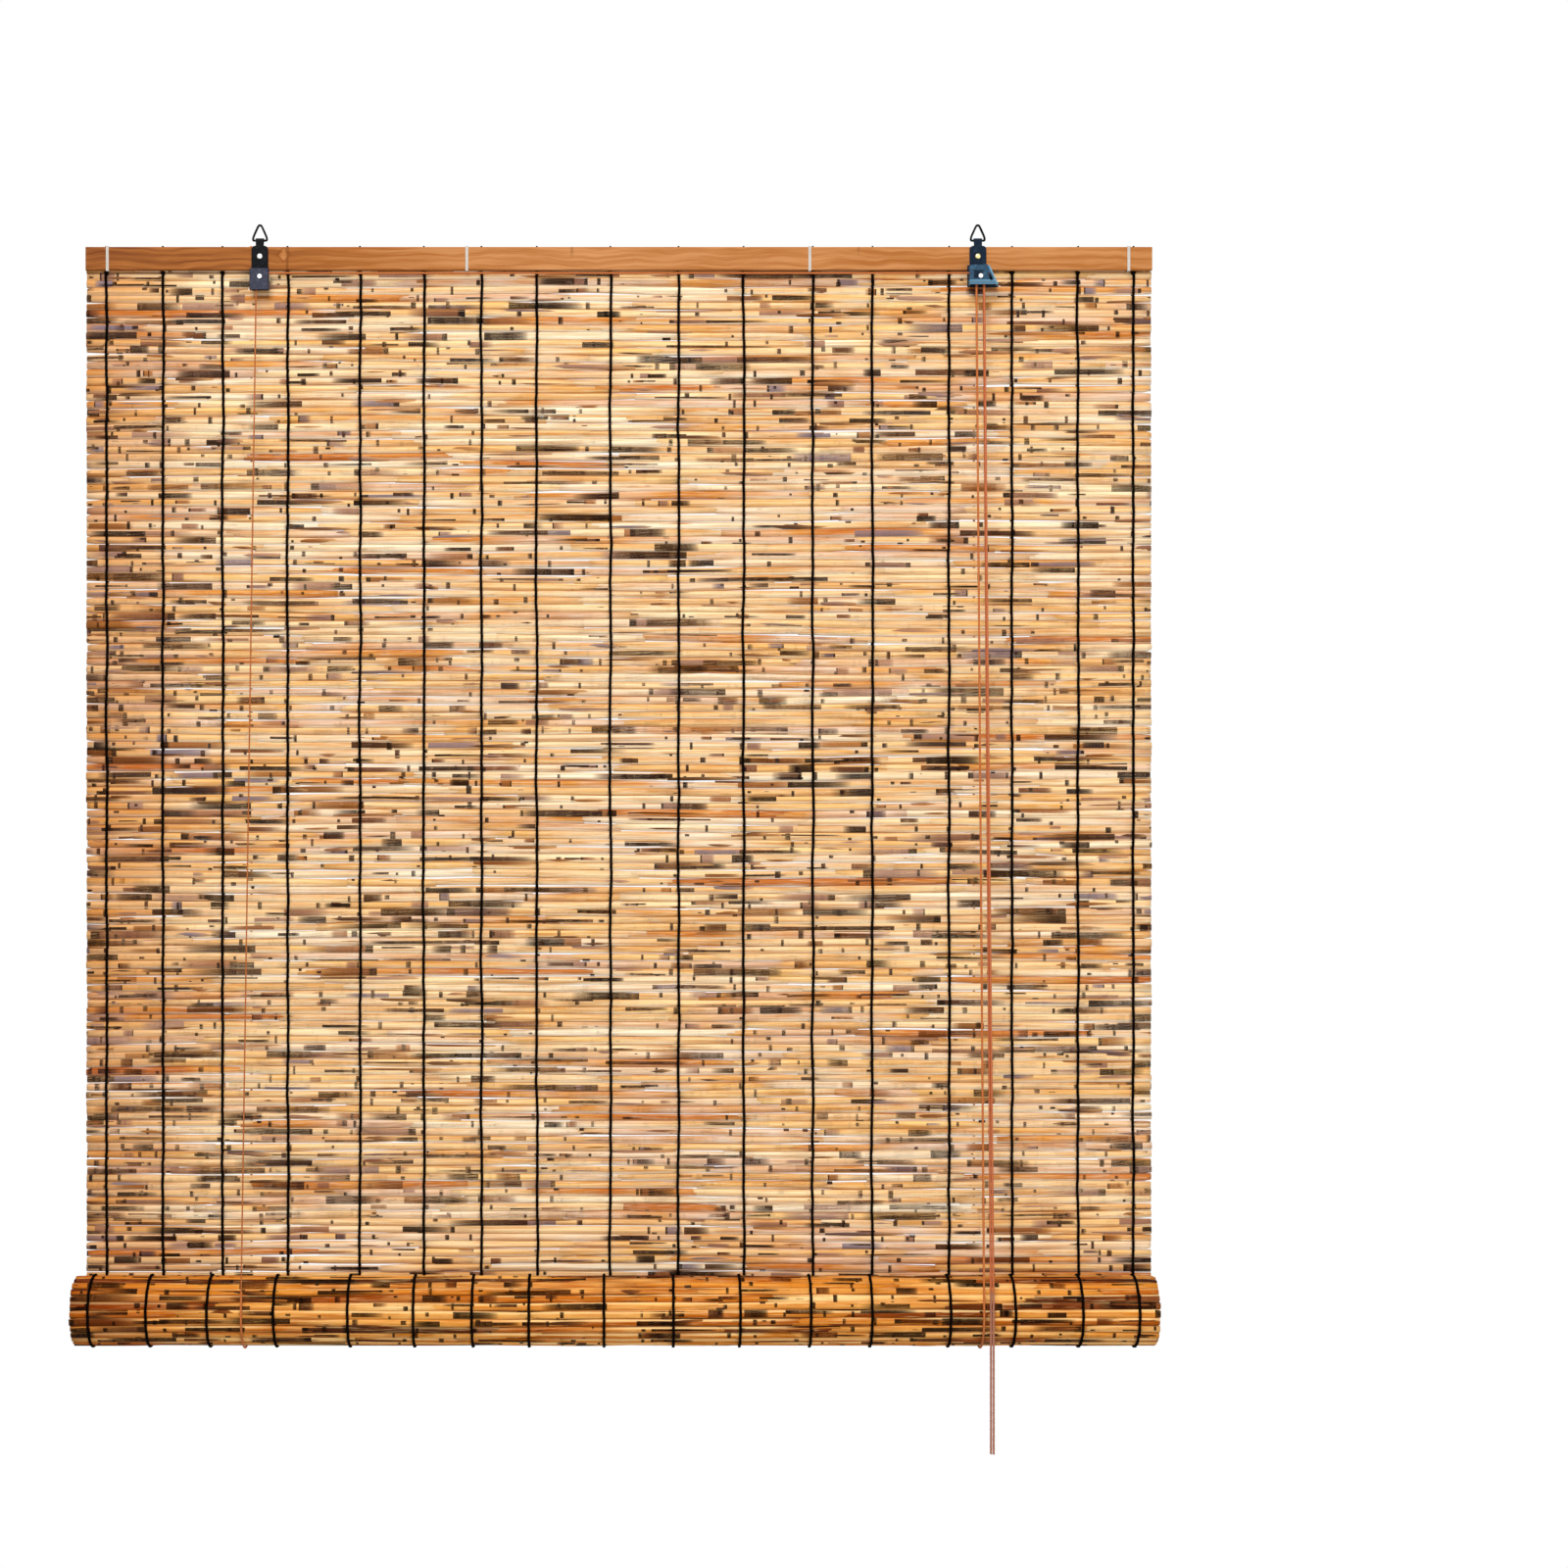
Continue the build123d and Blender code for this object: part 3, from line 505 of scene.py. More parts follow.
feed(reed_rows, laid.inputs["Scale"], vector_of(reed_rows, reed_length, deep, high))
real = add_node(reed_rows, "GeometryNodeRealizeInstances", {"Geometry": laid.outputs[0]})
here_x = stem_place.outputs["X"]
along = kept_value(reed_rows, "reed_along")
shift = row_calc("SUBTRACT", along, 0.5)
shift = row_calc("MULTIPLY", shift, kept_value(reed_rows, "reed_slant"))
swings = []
for along_rate, row_rate in ((2.3, 0.11), (8.0, 1.7), (17.0, 3.3), (0.0, 5.7)):
    stretch = row_calc("MULTIPLY", here_x, along_rate)
    layer = row_calc("MULTIPLY", row_number, row_rate)
    swing = add_node(reed_rows, "ShaderNodeTexNoise", {"Scale": 1.0, "Detail": 1.0})
    feed(reed_rows, swing.inputs["Vector"], vector_of(reed_rows, stretch, layer, 0.0))
    swings.append(row_calc("SUBTRACT", swing.outputs[0], 0.5))
shift = row_calc("MULTIPLY_ADD", swings[0], given["Wave"], shift)
shift = row_calc("MULTIPLY_ADD", swings[1], given["Ripple"], shift)
inward = row_calc("MINIMUM", along, row_calc("SUBTRACT", 1.0, along))
inward = row_calc("MULTIPLY", inward, kept_value(reed_rows, "reed_length"))
tip = add_node(reed_rows, "ShaderNodeMapRange", {"Value": inward, "From Max": given["Tip Length"]})
feed(reed_rows, tip.inputs["To Min"], given["Tip"])
swelling = row_calc("MULTIPLY_ADD", swings[2], given["Swell"], 1.0)
growth = row_calc("MULTIPLY_ADD", tip.outputs[0], swelling, -1.0)
radial = vector_sum(reed_rows, "SUBTRACT", here, kept_value(reed_rows, "reed_axis", "FLOAT_VECTOR"))
radial = vector_sum(reed_rows, "MULTIPLY", radial, (0.0, 1.0, 1.0))
uneven = row_calc("MULTIPLY", swings[3], trim_unevenness)
cut_x = row_calc("MAXIMUM", here_x, row_calc("ADD", left_edge, uneven))
cut_x = row_calc("MINIMUM", cut_x, row_calc("ADD", right_edge, uneven))
trimmed = row_calc("SUBTRACT", cut_x, here_x)
offset = vector_sum(reed_rows, "SCALE", radial, growth)
sideways = vector_sum(reed_rows, "SCALE", row_points.outputs["Tangent"], shift)
offset = vector_sum(reed_rows, "ADD", offset, sideways)
offset = vector_sum(reed_rows, "ADD", offset, vector_of(reed_rows, trimmed, 0.0, 0.0))
waved = add_node(reed_rows, "GeometryNodeSetPosition", {"Geometry": real.outputs[0]})
feed(reed_rows, waved.inputs["Offset"], offset)
coloured = add_node(reed_rows, "GeometryNodeSetMaterial", {"Geometry": waved.outputs[0]})
feed(reed_rows, coloured.inputs["Material"], given["Material"])
feed(reed_rows, leave.inputs["Geometry"], coloured.outputs[0])


def path_piece(name, runs, kind="POLY", closed=False):
    """A curve object with one spline for each run of points."""
    curve = bpy.data.curves.new(name, "CURVE")
    curve.dimensions = "3D"
    for points in runs:
        spline = curve.splines.new(kind)
        spline.points.add(len(points) - 1)
        for knot, point in zip(spline.points, points):
            knot.co = (*point, 1.0)
        spline.use_cyclic_u = closed
        if kind == "NURBS":
            spline.order_u = 3
            spline.use_endpoint_u = not closed
    return show(bpy.data.objects.new(name, curve))


def make_mesh(piece, tree=None, sizes=None):
    """Run a tree on a piece, with inputs set by name, and leave a plain mesh object in its place."""
    if tree is not None:
        modifier = piece.modifiers.new(tree.name, "NODES")
        modifier.node_group = tree
        for item in tree.interface.items_tree:
            if item.in_out == "INPUT" and item.name in sizes:
                modifier[item.identifier] = sizes[item.name]
    made = piece.evaluated_get(bpy.context.evaluated_depsgraph_get())
    mesh = bpy.data.meshes.new_from_object(made)
    name = piece.name
    bpy.data.objects.remove(piece)
    return show(bpy.data.objects.new(name, mesh))


def read_value(tree, label):
    """A value that the rows of reeds carry."""
    return add_node(tree, "ShaderNodeAttribute", attribute_name=label).outputs["Fac"]


def draw_chances(tree, first, second, third):
    """Three random values that stay the same over a cell."""
    node = add_node(tree, "ShaderNodeTexWhiteNoise", noise_dimensions="3D")
    feed(tree, node.inputs["Vector"], vector_of(tree, first, second, third))
    split = add_node(tree, "ShaderNodeSeparateColor", {"Color": node.outputs["Color"]})
    return split.outputs[0], split.outputs[1], split.outputs[2]


# Marks on a reed: the stain that a leaf leaves, with one dark end, fading along the stem
leaf_marks, entry, leave = start_group(
    "leaf_marks",
    {
        "Place": "Float", "Row": "Float", "Up": "Float", "Cell": "Float", "Share": "Float",
        "Shortest": "Float", "Longest": "Float", "Slimmest": "Float",
    },
    {"Mark": "Float", "End": "Float", "Tone": "Float"},
)
given = entry.outputs
mark_calc = partial(calc, leaf_marks)
along = mark_calc("DIVIDE", given["Place"], given["Cell"])
along = mark_calc("MULTIPLY_ADD", given["Row"], 7.31, along)
cell = mark_calc("FLOOR", along)
within = mark_calc("FRACT", along)
present, begin, span = draw_chances(leaf_marks, cell, given["Row"], 1.0)
turned, fade, tone = draw_chances(leaf_marks, cell, given["Row"], 2.0)
level, slim, dark_end = draw_chances(leaf_marks, cell, given["Row"], 3.0)
turned = mark_calc("GREATER_THAN", turned, 0.5)
mirrored = mark_calc("ABSOLUTE", mark_calc("SUBTRACT", turned, within))
room = mark_calc("SUBTRACT", given["Longest"], given["Shortest"])
span = mark_calc("MULTIPLY_ADD", mark_calc("POWER", span, 2.0), room, given["Shortest"])
begin = mark_calc("MULTIPLY", begin, mark_calc("SUBTRACT", 1.0, span))
travel = mark_calc("DIVIDE", mark_calc("SUBTRACT", mirrored, begin), span)
shown = mark_calc("LESS_THAN", present, given["Share"])
shown = mark_calc("MULTIPLY", shown, mark_calc("GREATER_THAN", travel, 0.0))
band = mark_calc("MULTIPLY_ADD", slim, mark_calc("SUBTRACT", 1.0, given["Slimmest"]), given["Slimmest"])
middle = mark_calc("MULTIPLY", mark_calc("SUBTRACT", level, 0.5), mark_calc("SUBTRACT", 1.0, band))
from_middle = mark_calc("ABSOLUTE", mark_calc("SUBTRACT", given["Up"], middle))
outer = mark_calc("MULTIPLY", band, 0.5)
inside = ease(leaf_marks, from_middle, outer, mark_calc("MULTIPLY", band, 0.4))
shown = mark_calc("MULTIPLY", shown, inside)
travel = mark_calc("MINIMUM", mark_calc("MAXIMUM", travel, 0.0), 1.0)
fade = mark_calc("MULTIPLY_ADD", fade, 10.0, 2.0)
mark = mark_calc("SUBTRACT", 1.0, mark_calc("POWER", travel, fade))
feed(leaf_marks, leave.inputs["Mark"], mark_calc("MULTIPLY", mark, shown))
end = mark_calc("MULTIPLY", ease(leaf_marks, travel, 0.14, 0.1), mark_calc("GREATER_THAN", dark_end, 0.4))
feed(leaf_marks, leave.inputs["End"], mark_calc("MULTIPLY", end, shown))
feed(leaf_marks, leave.inputs["Tone"], tone)


def reed_finish(name, shades, stains, dark_stains, stain_share, sliver_share, speck_share):
    """Split or whole reed: a shade for each stem, streaks, and leaf stains with burnt ends."""
    material, tree, shader = start_material(name, {"Specular IOR Level": 0.03})
    streak, ridge = fibre(tree, 9.0, 420.0)
    row = read_value(tree, "reed_row")
    up = read_value(tree, "reed_up")
    spot = add_node(tree, "ShaderNodeTexCoord").outputs["Object"]
    spot_x = add_node(tree, "ShaderNodeSeparateXYZ", {"Vector": spot}).outputs["X"]
    stretch = vector_of(tree, calc(tree, "MULTIPLY", spot_x, 7.0), calc(tree, "MULTIPLY", row, 3.7), 0.0)
    change = add_node(tree, "ShaderNodeTexNoise", {"Vector": stretch, "Scale": 1.0, "Detail": 2.0})
    tone = calc(tree, "MULTIPLY_ADD", change.outputs[0], 0.5, read_value(tree, "reed_tone"))
    base = colour_steps(tree, calc(tree, "SUBTRACT", tone, 0.25), shades)
    weathered = mix_colours(tree, 1.0, base, weather_tint, "MULTIPLY")
    base = mix_colours(tree, calc(tree, "MULTIPLY", streak, 0.85), base, weathered)
    # Pale streaks along the fine fibre ridges, placed by noise
    pale_ridge_streaks = calc(tree, "MULTIPLY", ease(tree, ridge, 0.52, 0.72), 0.45)
    base = mix_colours(tree, pale_ridge_streaks, base, shades[0][1])
    # Painted highlight: some stems get a pale band along the edge where reed_up is high, standing in for
    # light catching that edge
    edge_chance = add_node(tree, "ShaderNodeSeparateColor", {"Color": change.outputs["Color"]}).outputs[1]
    painted_edge_highlight = calc(tree, "MULTIPLY", ease(tree, up, 0.1, 0.36), ease(tree, edge_chance, 0.42, 0.58))
    base = mix_colours(tree, calc(tree, "MULTIPLY", painted_edge_highlight, 0.75), base, shades[0][1])
    # The left side of the mat hung nearer to the weather, and is darker and more stained
    aged = ease(tree, spot_x, aged_from, aged_full)
    base = mix_colours(tree, calc(tree, "MULTIPLY", aged, 0.6), base, weathered)
    # Broad stains, slivers along an edge, and specks
    for cell_length, share, shortest, longest, slimmest, colours in (
        (stain_cell, stain_share, 0.12, 0.85, 0.3, stains),
        (sliver_cell, sliver_share, 0.15, 0.65, 0.16, dark_stains),
        (speck_cell, speck_share, 0.06, 0.13, 0.3, dark_stains),
    ):
        mark_inputs = {
            "Place": spot_x, "Row": row, "Up": up, "Cell": cell_length, "Shortest": shortest,
            "Longest": longest, "Slimmest": slimmest, "Share": calc(tree, "MULTIPLY_ADD", aged, 0.4, share),
        }
        marks = add_node(tree, "ShaderNodeGroup", mark_inputs, node_tree=leaf_marks)
        stain = colour_steps(tree, marks.outputs["Tone"], colours)
        base = mix_colours(tree, calc(tree, "MULTIPLY", marks.outputs["Mark"], 0.97), base, stain)
        if colours is stains:
            burnt_end = calc(tree, "MULTIPLY", marks.outputs["End"], 0.9)
            base = mix_colours(tree, burnt_end, base, dark_stains[0][1])
    feed(tree, shader.inputs["Base Color"], base)
    feed(tree, shader.inputs["Roughness"], calc(tree, "MULTIPLY_ADD", ridge, 0.25, 0.45))
    roughen(tree, shader, ridge, reed_ridge_depth)
    return material


def sheath_finish(name, shades, worn):
    """Dry leaf sheath or stub: matt, dark at one end and worn at the other, streaked along the stem."""
    material, tree, shader = start_material(name, {"Specular IOR Level": 0.1})
    streak, ridge = fibre(tree, 14.0, 600.0)
    base = colour_steps(tree, read_value(tree, "reed_tone"), shades)
    faded = ease(tree, read_value(tree, "reed_along"), 0.35, 1.3)
    base = mix_colours(tree, calc(tree, "MULTIPLY_ADD", streak, 0.2, faded), base, worn)
    feed(tree, shader.inputs["Base Color"], base)
    feed(tree, shader.inputs["Roughness"], calc(tree, "MULTIPLY_ADD", ridge, 0.2, 0.6))
    roughen(tree, shader, ridge, sheath_ridge_depth)
    return material


mat_reed = reed_finish("mat_reed", straw_shades, stain_shades, burnt_shades, 0.54, 0.62, 0.5)
mat_sheath = sheath_finish("mat_sheath", stain_shades, worn_sheath_colour)
reed_stub = sheath_finish("reed_stub", stub_shades, worn_stub_colour)

# How each kind of reed piece fills a row: whole stems, thin splints, torn sheaths and the stubs of leaves
reed_kinds = {
    "reeds": {
        "Reeds per Row": 6, "Shortest Cell": 0.4, "Longest Cell": 1.8, "Least Fill": 1.02, "Most Fill": 1.1,
        "Kept Share": 1.0, "Thinnest": 0.9, "Thickest": 1.14, "Proud": 1.0, "Drift": 0.0, "Slant": 0.0013,
        "Swell": 0.5, "Tip": 0.83, "Tip Length": 0.02, "Segments": 5, "Seed": 3,
    },
    "splints": {
        "Reeds per Row": 6, "Shortest Cell": 0.4, "Longest Cell": 1.6, "Least Fill": 0.35, "Most Fill": 0.95,
        "Kept Share": 0.62, "Thinnest": 0.16, "Thickest": 0.42, "Proud": 1.0, "Drift": 0.48, "Slant": 0.0014,
        "Swell": 0.5, "Tip": 0.4, "Tip Length": 0.03, "Segments": 5, "Seed": 6,
    },
    "sheaths": {
        "Reeds per Row": 9, "Shortest Cell": 0.5, "Longest Cell": 1.5, "Least Fill": 0.1, "Most Fill": 0.5,
        "Kept Share": 0.3, "Thinnest": 0.35, "Thickest": 0.8, "Proud": 1.12, "Drift": 0.3, "Slant": 0.001,
        "Swell": 0.3, "Tip": 0.8, "Tip Length": 0.012, "Segments": 4, "Seed": 5,
    },
    "stubs": {
        "Reeds per Row": 14, "Shortest Cell": 0.5, "Longest Cell": 1.5, "Least Fill": 0.035,
        "Most Fill": 0.075, "Kept Share": 0.5, "Thinnest": 0.35, "Thickest": 0.7, "Proud": 1.16,
        "Drift": 0.28, "Slant": 0.0,
        "Swell": 0.3, "Tip": 0.8, "Tip Length": 0.002, "Segments": 1, "Seed": 8,
    },
}


def lay_reeds(name, kind, path, rows, first_row, middle, material):
    """One kind of reed piece along all the rows of a path."""
    sizes = dict(reed_kinds[kind])
    sizes["Rows"] = rows
    sizes["First Row"] = first_row
    sizes["Width"] = mat_width
    sizes["Middle"] = middle
    sizes["Height"] = reed_height
    sizes["Depth"] = reed_depth
    sizes["Wave"] = row_wave
    sizes["Ripple"] = row_ripple
    sizes["Material"] = material
    return make_mesh(path_piece(name, [path]), reed_rows, sizes)


split_height = mat_top - standing_rows * reed_pitch
mat_parts = (("standing", mat_top, standing_rows, 0), ("hanging", split_height, hanging_rows, standing_rows))
mat_materials = {"reeds": mat_reed, "splints": mat_reed, "sheaths": mat_sheath, "stubs": reed_stub}
for part, part_top, part_rows, above in mat_parts:
    first_row = part_top - reed_pitch / 2
    last_row = part_top - (part_rows - 0.5) * reed_pitch
    part_path = [(0, mat_depth_middle, first_row), (0, mat_depth_middle, last_row)]
    for kind, material in mat_materials.items():
        piece = lay_reeds("mat_" + part + "_" + kind, kind, part_path, part_rows, above, 0.0, material)
        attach(piece, "head_rail")
        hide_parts("reed_mat")
        if part == "hanging":
            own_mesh(piece)

# Stitching: black waxed twine in pairs, one strand on each face, knotted under the front lath.
# It dips between the rows and wanders a little from side to side.
twine_places = (
    -0.481, -0.428, -0.372, -0.311, -0.243, -0.183, -0.129, -0.077, -0.008,
    0.056, 0.117, 0.182, 0.238, 0.310, 0.369, 0.431, 0.483,
)
twine_radius = 0.0016
twine_lay = 0.006
twine_front_depth = 0.0032
twine_rear_depth = 0.0098
twine_top = -0.0424
front_twine_bottom = -0.99268
rear_twine_bottom = -1.00938
twine_dip = 0.0005
twine_step = reed_pitch / 4
twine_wander = 0.005
yarn_lint_depth = 0.0003
twine_colour = screen_colour(6, 3, 2)
twine_worn_colour = screen_colour(24, 15, 11)
twine_knot_forward = 0.0004
twine_knot_drop = 0.0006
twine_knot_size = 0.0006
twine_knot_step = 0.0008
twine_end_radius = 0.0009
twine_end_step = 0.0006
# Depth and height of the points of an end that goes over the tops of both laths
twine_end_route = ((0.0004, -0.0194), (0.0009, -0.0184), (0.012, -0.0184), (0.0125, -0.0194))

# Laid cord: a path with a dip at each row and a sideways wander, twisted from three yarns
laid_cord, entry, leave = start_tree(
    "laid_cord",
    {
        "Radius": "Float", "Lay": "Float", "Step": "Float", "Dip": "Float", "Dip Pitch": "Float",
        "Wander": "Float", "Material": "Material",
    },
)
steps = add_node(laid_cord, "GeometryNodeResampleCurve", mode="LENGTH")
feed(laid_cord, steps.inputs["Curve"], entry.outputs["Geometry"])
feed(laid_cord, steps.inputs["Length"], entry.outputs["Step"])
spot = add_node(laid_cord, "GeometryNodeInputPosition").outputs[0]
spot = add_node(laid_cord, "ShaderNodeSeparateXYZ", {"Vector": spot})
phase = calc(laid_cord, "DIVIDE", spot.outputs["Z"], entry.outputs["Dip Pitch"])
dip = calc(laid_cord, "COSINE", calc(laid_cord, "MULTIPLY", phase, 2 * math.pi))
dip = calc(laid_cord, "MULTIPLY", dip, entry.outputs["Dip"])
column = calc(laid_cord, "MULTIPLY", spot.outputs["X"], 31.0)
level = calc(laid_cord, "MULTIPLY", spot.outputs["Z"], 14.0)
sway = add_node(laid_cord, "ShaderNodeTexNoise", {"Scale": 1.0, "Detail": 3.0})
feed(laid_cord, sway.inputs["Vector"], vector_of(laid_cord, column, 0.0, level))
sway = calc(laid_cord, "SUBTRACT", sway.outputs[0], 0.5)
sway = calc(laid_cord, "MULTIPLY", sway, entry.outputs["Wander"])
moved = add_node(laid_cord, "GeometryNodeSetPosition", {"Geometry": steps.outputs[0]})
feed(laid_cord, moved.inputs["Offset"], vector_of(laid_cord, sway, dip, 0.0))
reach = add_node(laid_cord, "GeometryNodeSplineParameter").outputs["Length"]
twist = calc(laid_cord, "DIVIDE", calc(laid_cord, "MULTIPLY", reach, 2 * math.pi), entry.outputs["Lay"])
twisted = add_node(laid_cord, "GeometryNodeSetCurveTilt", {"Curve": moved.outputs[0], "Tilt": twist})
yarns = add_node(laid_cord, "GeometryNodeCurveStar", {"Points": 3})
feed(laid_cord, yarns.inputs["Outer Radius"], entry.outputs["Radius"])
feed(laid_cord, yarns.inputs["Inner Radius"], calc(laid_cord, "MULTIPLY", entry.outputs["Radius"], 0.74))
tube = add_node(laid_cord, "GeometryNodeCurveToMesh", {"Curve": twisted.outputs[0], "Fill Caps": True})
feed(laid_cord, tube.inputs["Profile Curve"], yarns.outputs["Curve"])
rounded = add_node(laid_cord, "GeometryNodeSetShadeSmooth", {"Geometry": tube.outputs[0]}, domain="FACE")
dyed = add_node(laid_cord, "GeometryNodeSetMaterial", {"Geometry": rounded.outputs[0]})
feed(laid_cord, dyed.inputs["Material"], entry.outputs["Material"])
feed(laid_cord, leave.inputs["Geometry"], dyed.outputs[0])


def lay_cord(name, runs, radius, lay, step, material, dip=0.0, wander=0.0, kind="POLY", closed=False):
    """Twisted cord or twine along each run of points."""
    sizes = {
        "Radius": radius, "Lay": lay, "Step": step, "Dip": dip, "Dip Pitch": reed_pitch,
        "Wander": wander, "Material": material,
    }
    return make_mesh(path_piece(name, runs, kind, closed), laid_cord, sizes)


def yarn_finish(name, base, worn, roughness, gloss):
    """Twisted yarn: two shades in fine fibres."""
    material, tree, shader = start_material(name, {"Specular IOR Level": gloss})
    spot = add_node(tree, "ShaderNodeTexCoord").outputs["Object"]
    lint = add_node(tree, "ShaderNodeTexNoise", {"Vector": spot, "Scale": 1400.0, "Detail": 3.0})
    patch = add_node(tree, "ShaderNodeTexNoise", {"Vector": spot, "Scale": 22.0, "Detail": 2.0})
    share = calc(tree, "MULTIPLY", ease(tree, lint.outputs[0], 0.35, 0.75), patch.outputs[0])
    feed(tree, shader.inputs["Base Color"], mix_colours(tree, share, base, worn))
    feed(tree, shader.inputs["Roughness"], calc(tree, "MULTIPLY_ADD", lint.outputs[0], 0.2, roughness))
    roughen(tree, shader, lint.outputs[0], yarn_lint_depth)
    return material


black_twine = yarn_finish("black_twine", twine_colour, twine_worn_colour, 0.7, 0.02)


def stitch(name, depth, dip, top, bottom, squashed):
    """All the strands of one face between two heights."""
    runs = []
    for place in twine_places:
        runs.append([(place, depth, top), (place, depth, bottom)])
    piece = lay_cord(name, runs, twine_radius, twine_lay, twine_step, black_twine, dip, twine_wander)
    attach(piece, "head_rail")
    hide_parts("mat_twine")
    if squashed:
        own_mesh(piece)


for face, depth, dip, bottom in (
    ("front", twine_front_depth, twine_dip, front_twine_bottom),
    ("rear", twine_rear_depth, -twine_dip, rear_twine_bottom),
):
    stitch("twine_" + face + "_standing", depth, dip, twine_top, split_height, False)
    stitch("twine_" + face + "_hanging", depth, dip, split_height, bottom, True)


def overhand_knot(centre, size):
    """The closed path of a pulled overhand knot."""
    points = []
    turns = 30
    for step in range(turns):
        angle = 2 * math.pi * step / turns
        x = math.sin(angle) + 2 * math.sin(2 * angle)
        z = math.cos(angle) - 2 * math.cos(2 * angle)
        y = -math.sin(3 * angle)
        points.append(tuple(Vector(centre) + Vector((x, y, z)) * size))
    return points


knot_runs = []
for place in twine_places:
    knot_middle = (place, twine_front_depth - twine_knot_forward, twine_top - twine_knot_drop)
    knot_runs.append(overhand_knot(knot_middle, twine_knot_size))
twine_knots = lay_cord(
    "twine_knots", knot_runs, twine_end_radius, twine_lay, twine_knot_step, black_twine, closed=True
)
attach(twine_knots, "head_rail")
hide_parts("mat_twine")

over_runs = []
for place in twine_places:
    over_runs.append([(place, depth, height) for depth, height in twine_end_route])
twine_ends = lay_cord("twine_ends", over_runs, twine_end_radius, twine_lay, twine_end_step, black_twine)
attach(twine_ends, "head_rail")

# Lath ties: four bands of woven white tape, a little soiled.
# Each is wrapped round both laths and the top of the mat, and stuck down.
tape_colour = screen_colour(238, 232, 224)
tape_soiled_colour = screen_colour(212, 202, 190)
tape_weave_depth = 0.0002

white_tape, tree, shader = start_material("white_tape", {"Roughness": 0.55})
spot = add_node(tree, "ShaderNodeTexCoord").outputs["Object"]
threads = add_node(tree, "ShaderNodeTexWave", {"Vector": spot, "Scale": 900.0, "Distortion": 1.5})
smudge = add_node(tree, "ShaderNodeTexNoise", {"Vector": spot, "Scale": 120.0, "Detail": 3.0})
tape_tone = mix_colours(tree, smudge.outputs[0], tape_colour, tape_soiled_colour)
feed(tree, shader.inputs["Base Color"], tape_tone)
roughen(tree, shader, threads.outputs[1], tape_weave_depth)
finish_node(white_tape, "lath_ties")

# Roll: the lower end of the mat, wound on the room side, with the mat's darker back outwards.
# It is wound in half turns, each a reed's thickness smaller than the last.
# The stitching goes round with it, and stands proud of the reeds.
rolled_from = standing_rows + hanging_rows
roll_middle_x = -0.0037
roll_axis_depth = -0.02485
roll_axis_height = -1.00968
roll_outer_radius = 0.0313
roll_step = 0.003
roll_half_turns = 6
roll_turn_points = 24
hoop_shift = -0.0057
hoop_rise = 0.0031
hoop_radius = roll_outer_radius + hoop_rise
hoop_points = 40
hoop_wander = 0.002

worn_roll_colour = screen_colour(176, 104, 40)
rolled_shades = (
    (0.00, screen_colour(255, 216, 148)),
    (0.10, screen_colour(244, 182, 96)),
    (0.26, screen_colour(228, 150, 54)),
    (0.44, screen_colour(212, 128, 32)),
    (0.60, screen_colour(192, 104, 18)),
    (0.72, screen_colour(240, 174, 88)),
    (0.84, screen_colour(160, 78, 14)),
    (0.93, screen_colour(122, 54, 10)),
    (1.00, screen_colour(84, 38, 12)),
)
rolled_stains = (
    (0.00, screen_colour(34, 8, 0)),
    (0.30, screen_colour(104, 46, 8)),
    (0.55, screen_colour(50, 16, 2)),
    (0.80, screen_colour(78, 40, 22)),
    (1.00, screen_colour(20, 4, 0)),
)
rolled_burnt = (
    (0.00, screen_colour(10, 2, 0)),
    (0.50, screen_colour(30, 8, 0)),
    (1.00, screen_colour(14, 4, 0)),
)

roll_path = []
for half in range(roll_half_turns):
    half_radius = roll_outer_radius - half * roll_step
    half_middle = roll_axis_depth - (half % 2) * roll_step
    for point in range(roll_turn_points):
        turn = math.pi * (half + point / roll_turn_points)
        roll_path.append(
            (0, half_middle + half_radius * math.cos(turn), roll_axis_height - half_radius * math.sin(turn))
        )
roll_length = 0.0
for start, end in zip(roll_path, roll_path[1:]):
    roll_length += (Vector(end) - Vector(start)).length
roll_rows = round(roll_length / reed_pitch) + 1
rolled_reed = reed_finish("rolled_reed", rolled_shades, rolled_stains, rolled_burnt, 0.5, 0.8, 0.75)
roll_materials = {
    "reeds": rolled_reed,
    "splints": rolled_reed,
    "sheaths": sheath_finish("rolled_sheath", rolled_stains, worn_roll_colour),
    "stubs": reed_stub,
}
for kind, material in roll_materials.items():
    piece = lay_reeds("roll_" + kind, kind, roll_path, roll_rows, rolled_from, roll_middle_x, material)
    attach(piece, "roll")
    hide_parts("mat_roll")

hoop_runs = []
for place in twine_places:
    hoop = []
    for point in range(hoop_points):
        turn = 2 * math.pi * point / hoop_points
        upper = turn > math.pi
        radius = hoop_radius - (roll_step if upper else 0)
        middle = roll_axis_depth - (roll_step if upper else 0)
        hoop.append(
            (place + hoop_shift, middle + radius * math.cos(turn), roll_axis_height - radius * math.sin(turn))
        )
    hoop_runs.append(hoop)
roll_twine = lay_cord(
    "roll_twine", hoop_runs, twine_radius, twine_lay, twine_step, black_twine, wander=hoop_wander
)
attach(roll_twine, "roll")

# Hangers: steel strap, bent round a wire ring at the top and painted, each tacked to the front lath.
# The rings are bent from wire to a triangle, and swing on the strap's curl.
ring_wire_radius = 0.00105
hanger_places = {"left": -0.3365, "right": 0.3365}
ring_base_height = -0.013
ring_half_base = 0.0064
ring_top = 0.0012
tack_height = -0.0282
tack_face = -0.00205
tack_sides = 20
metal_speck_depth = 0.0001
# Half of a ring's outline, as shares of its half width and its height
ring_half_outline = (
    (0.0, 0.0), (0.6, 0.0), (1.02, -0.02), (1.0, 0.2), (0.66, 0.54), (0.3, 0.9), (0.14, 1.0), (0.0, 1.0),
)
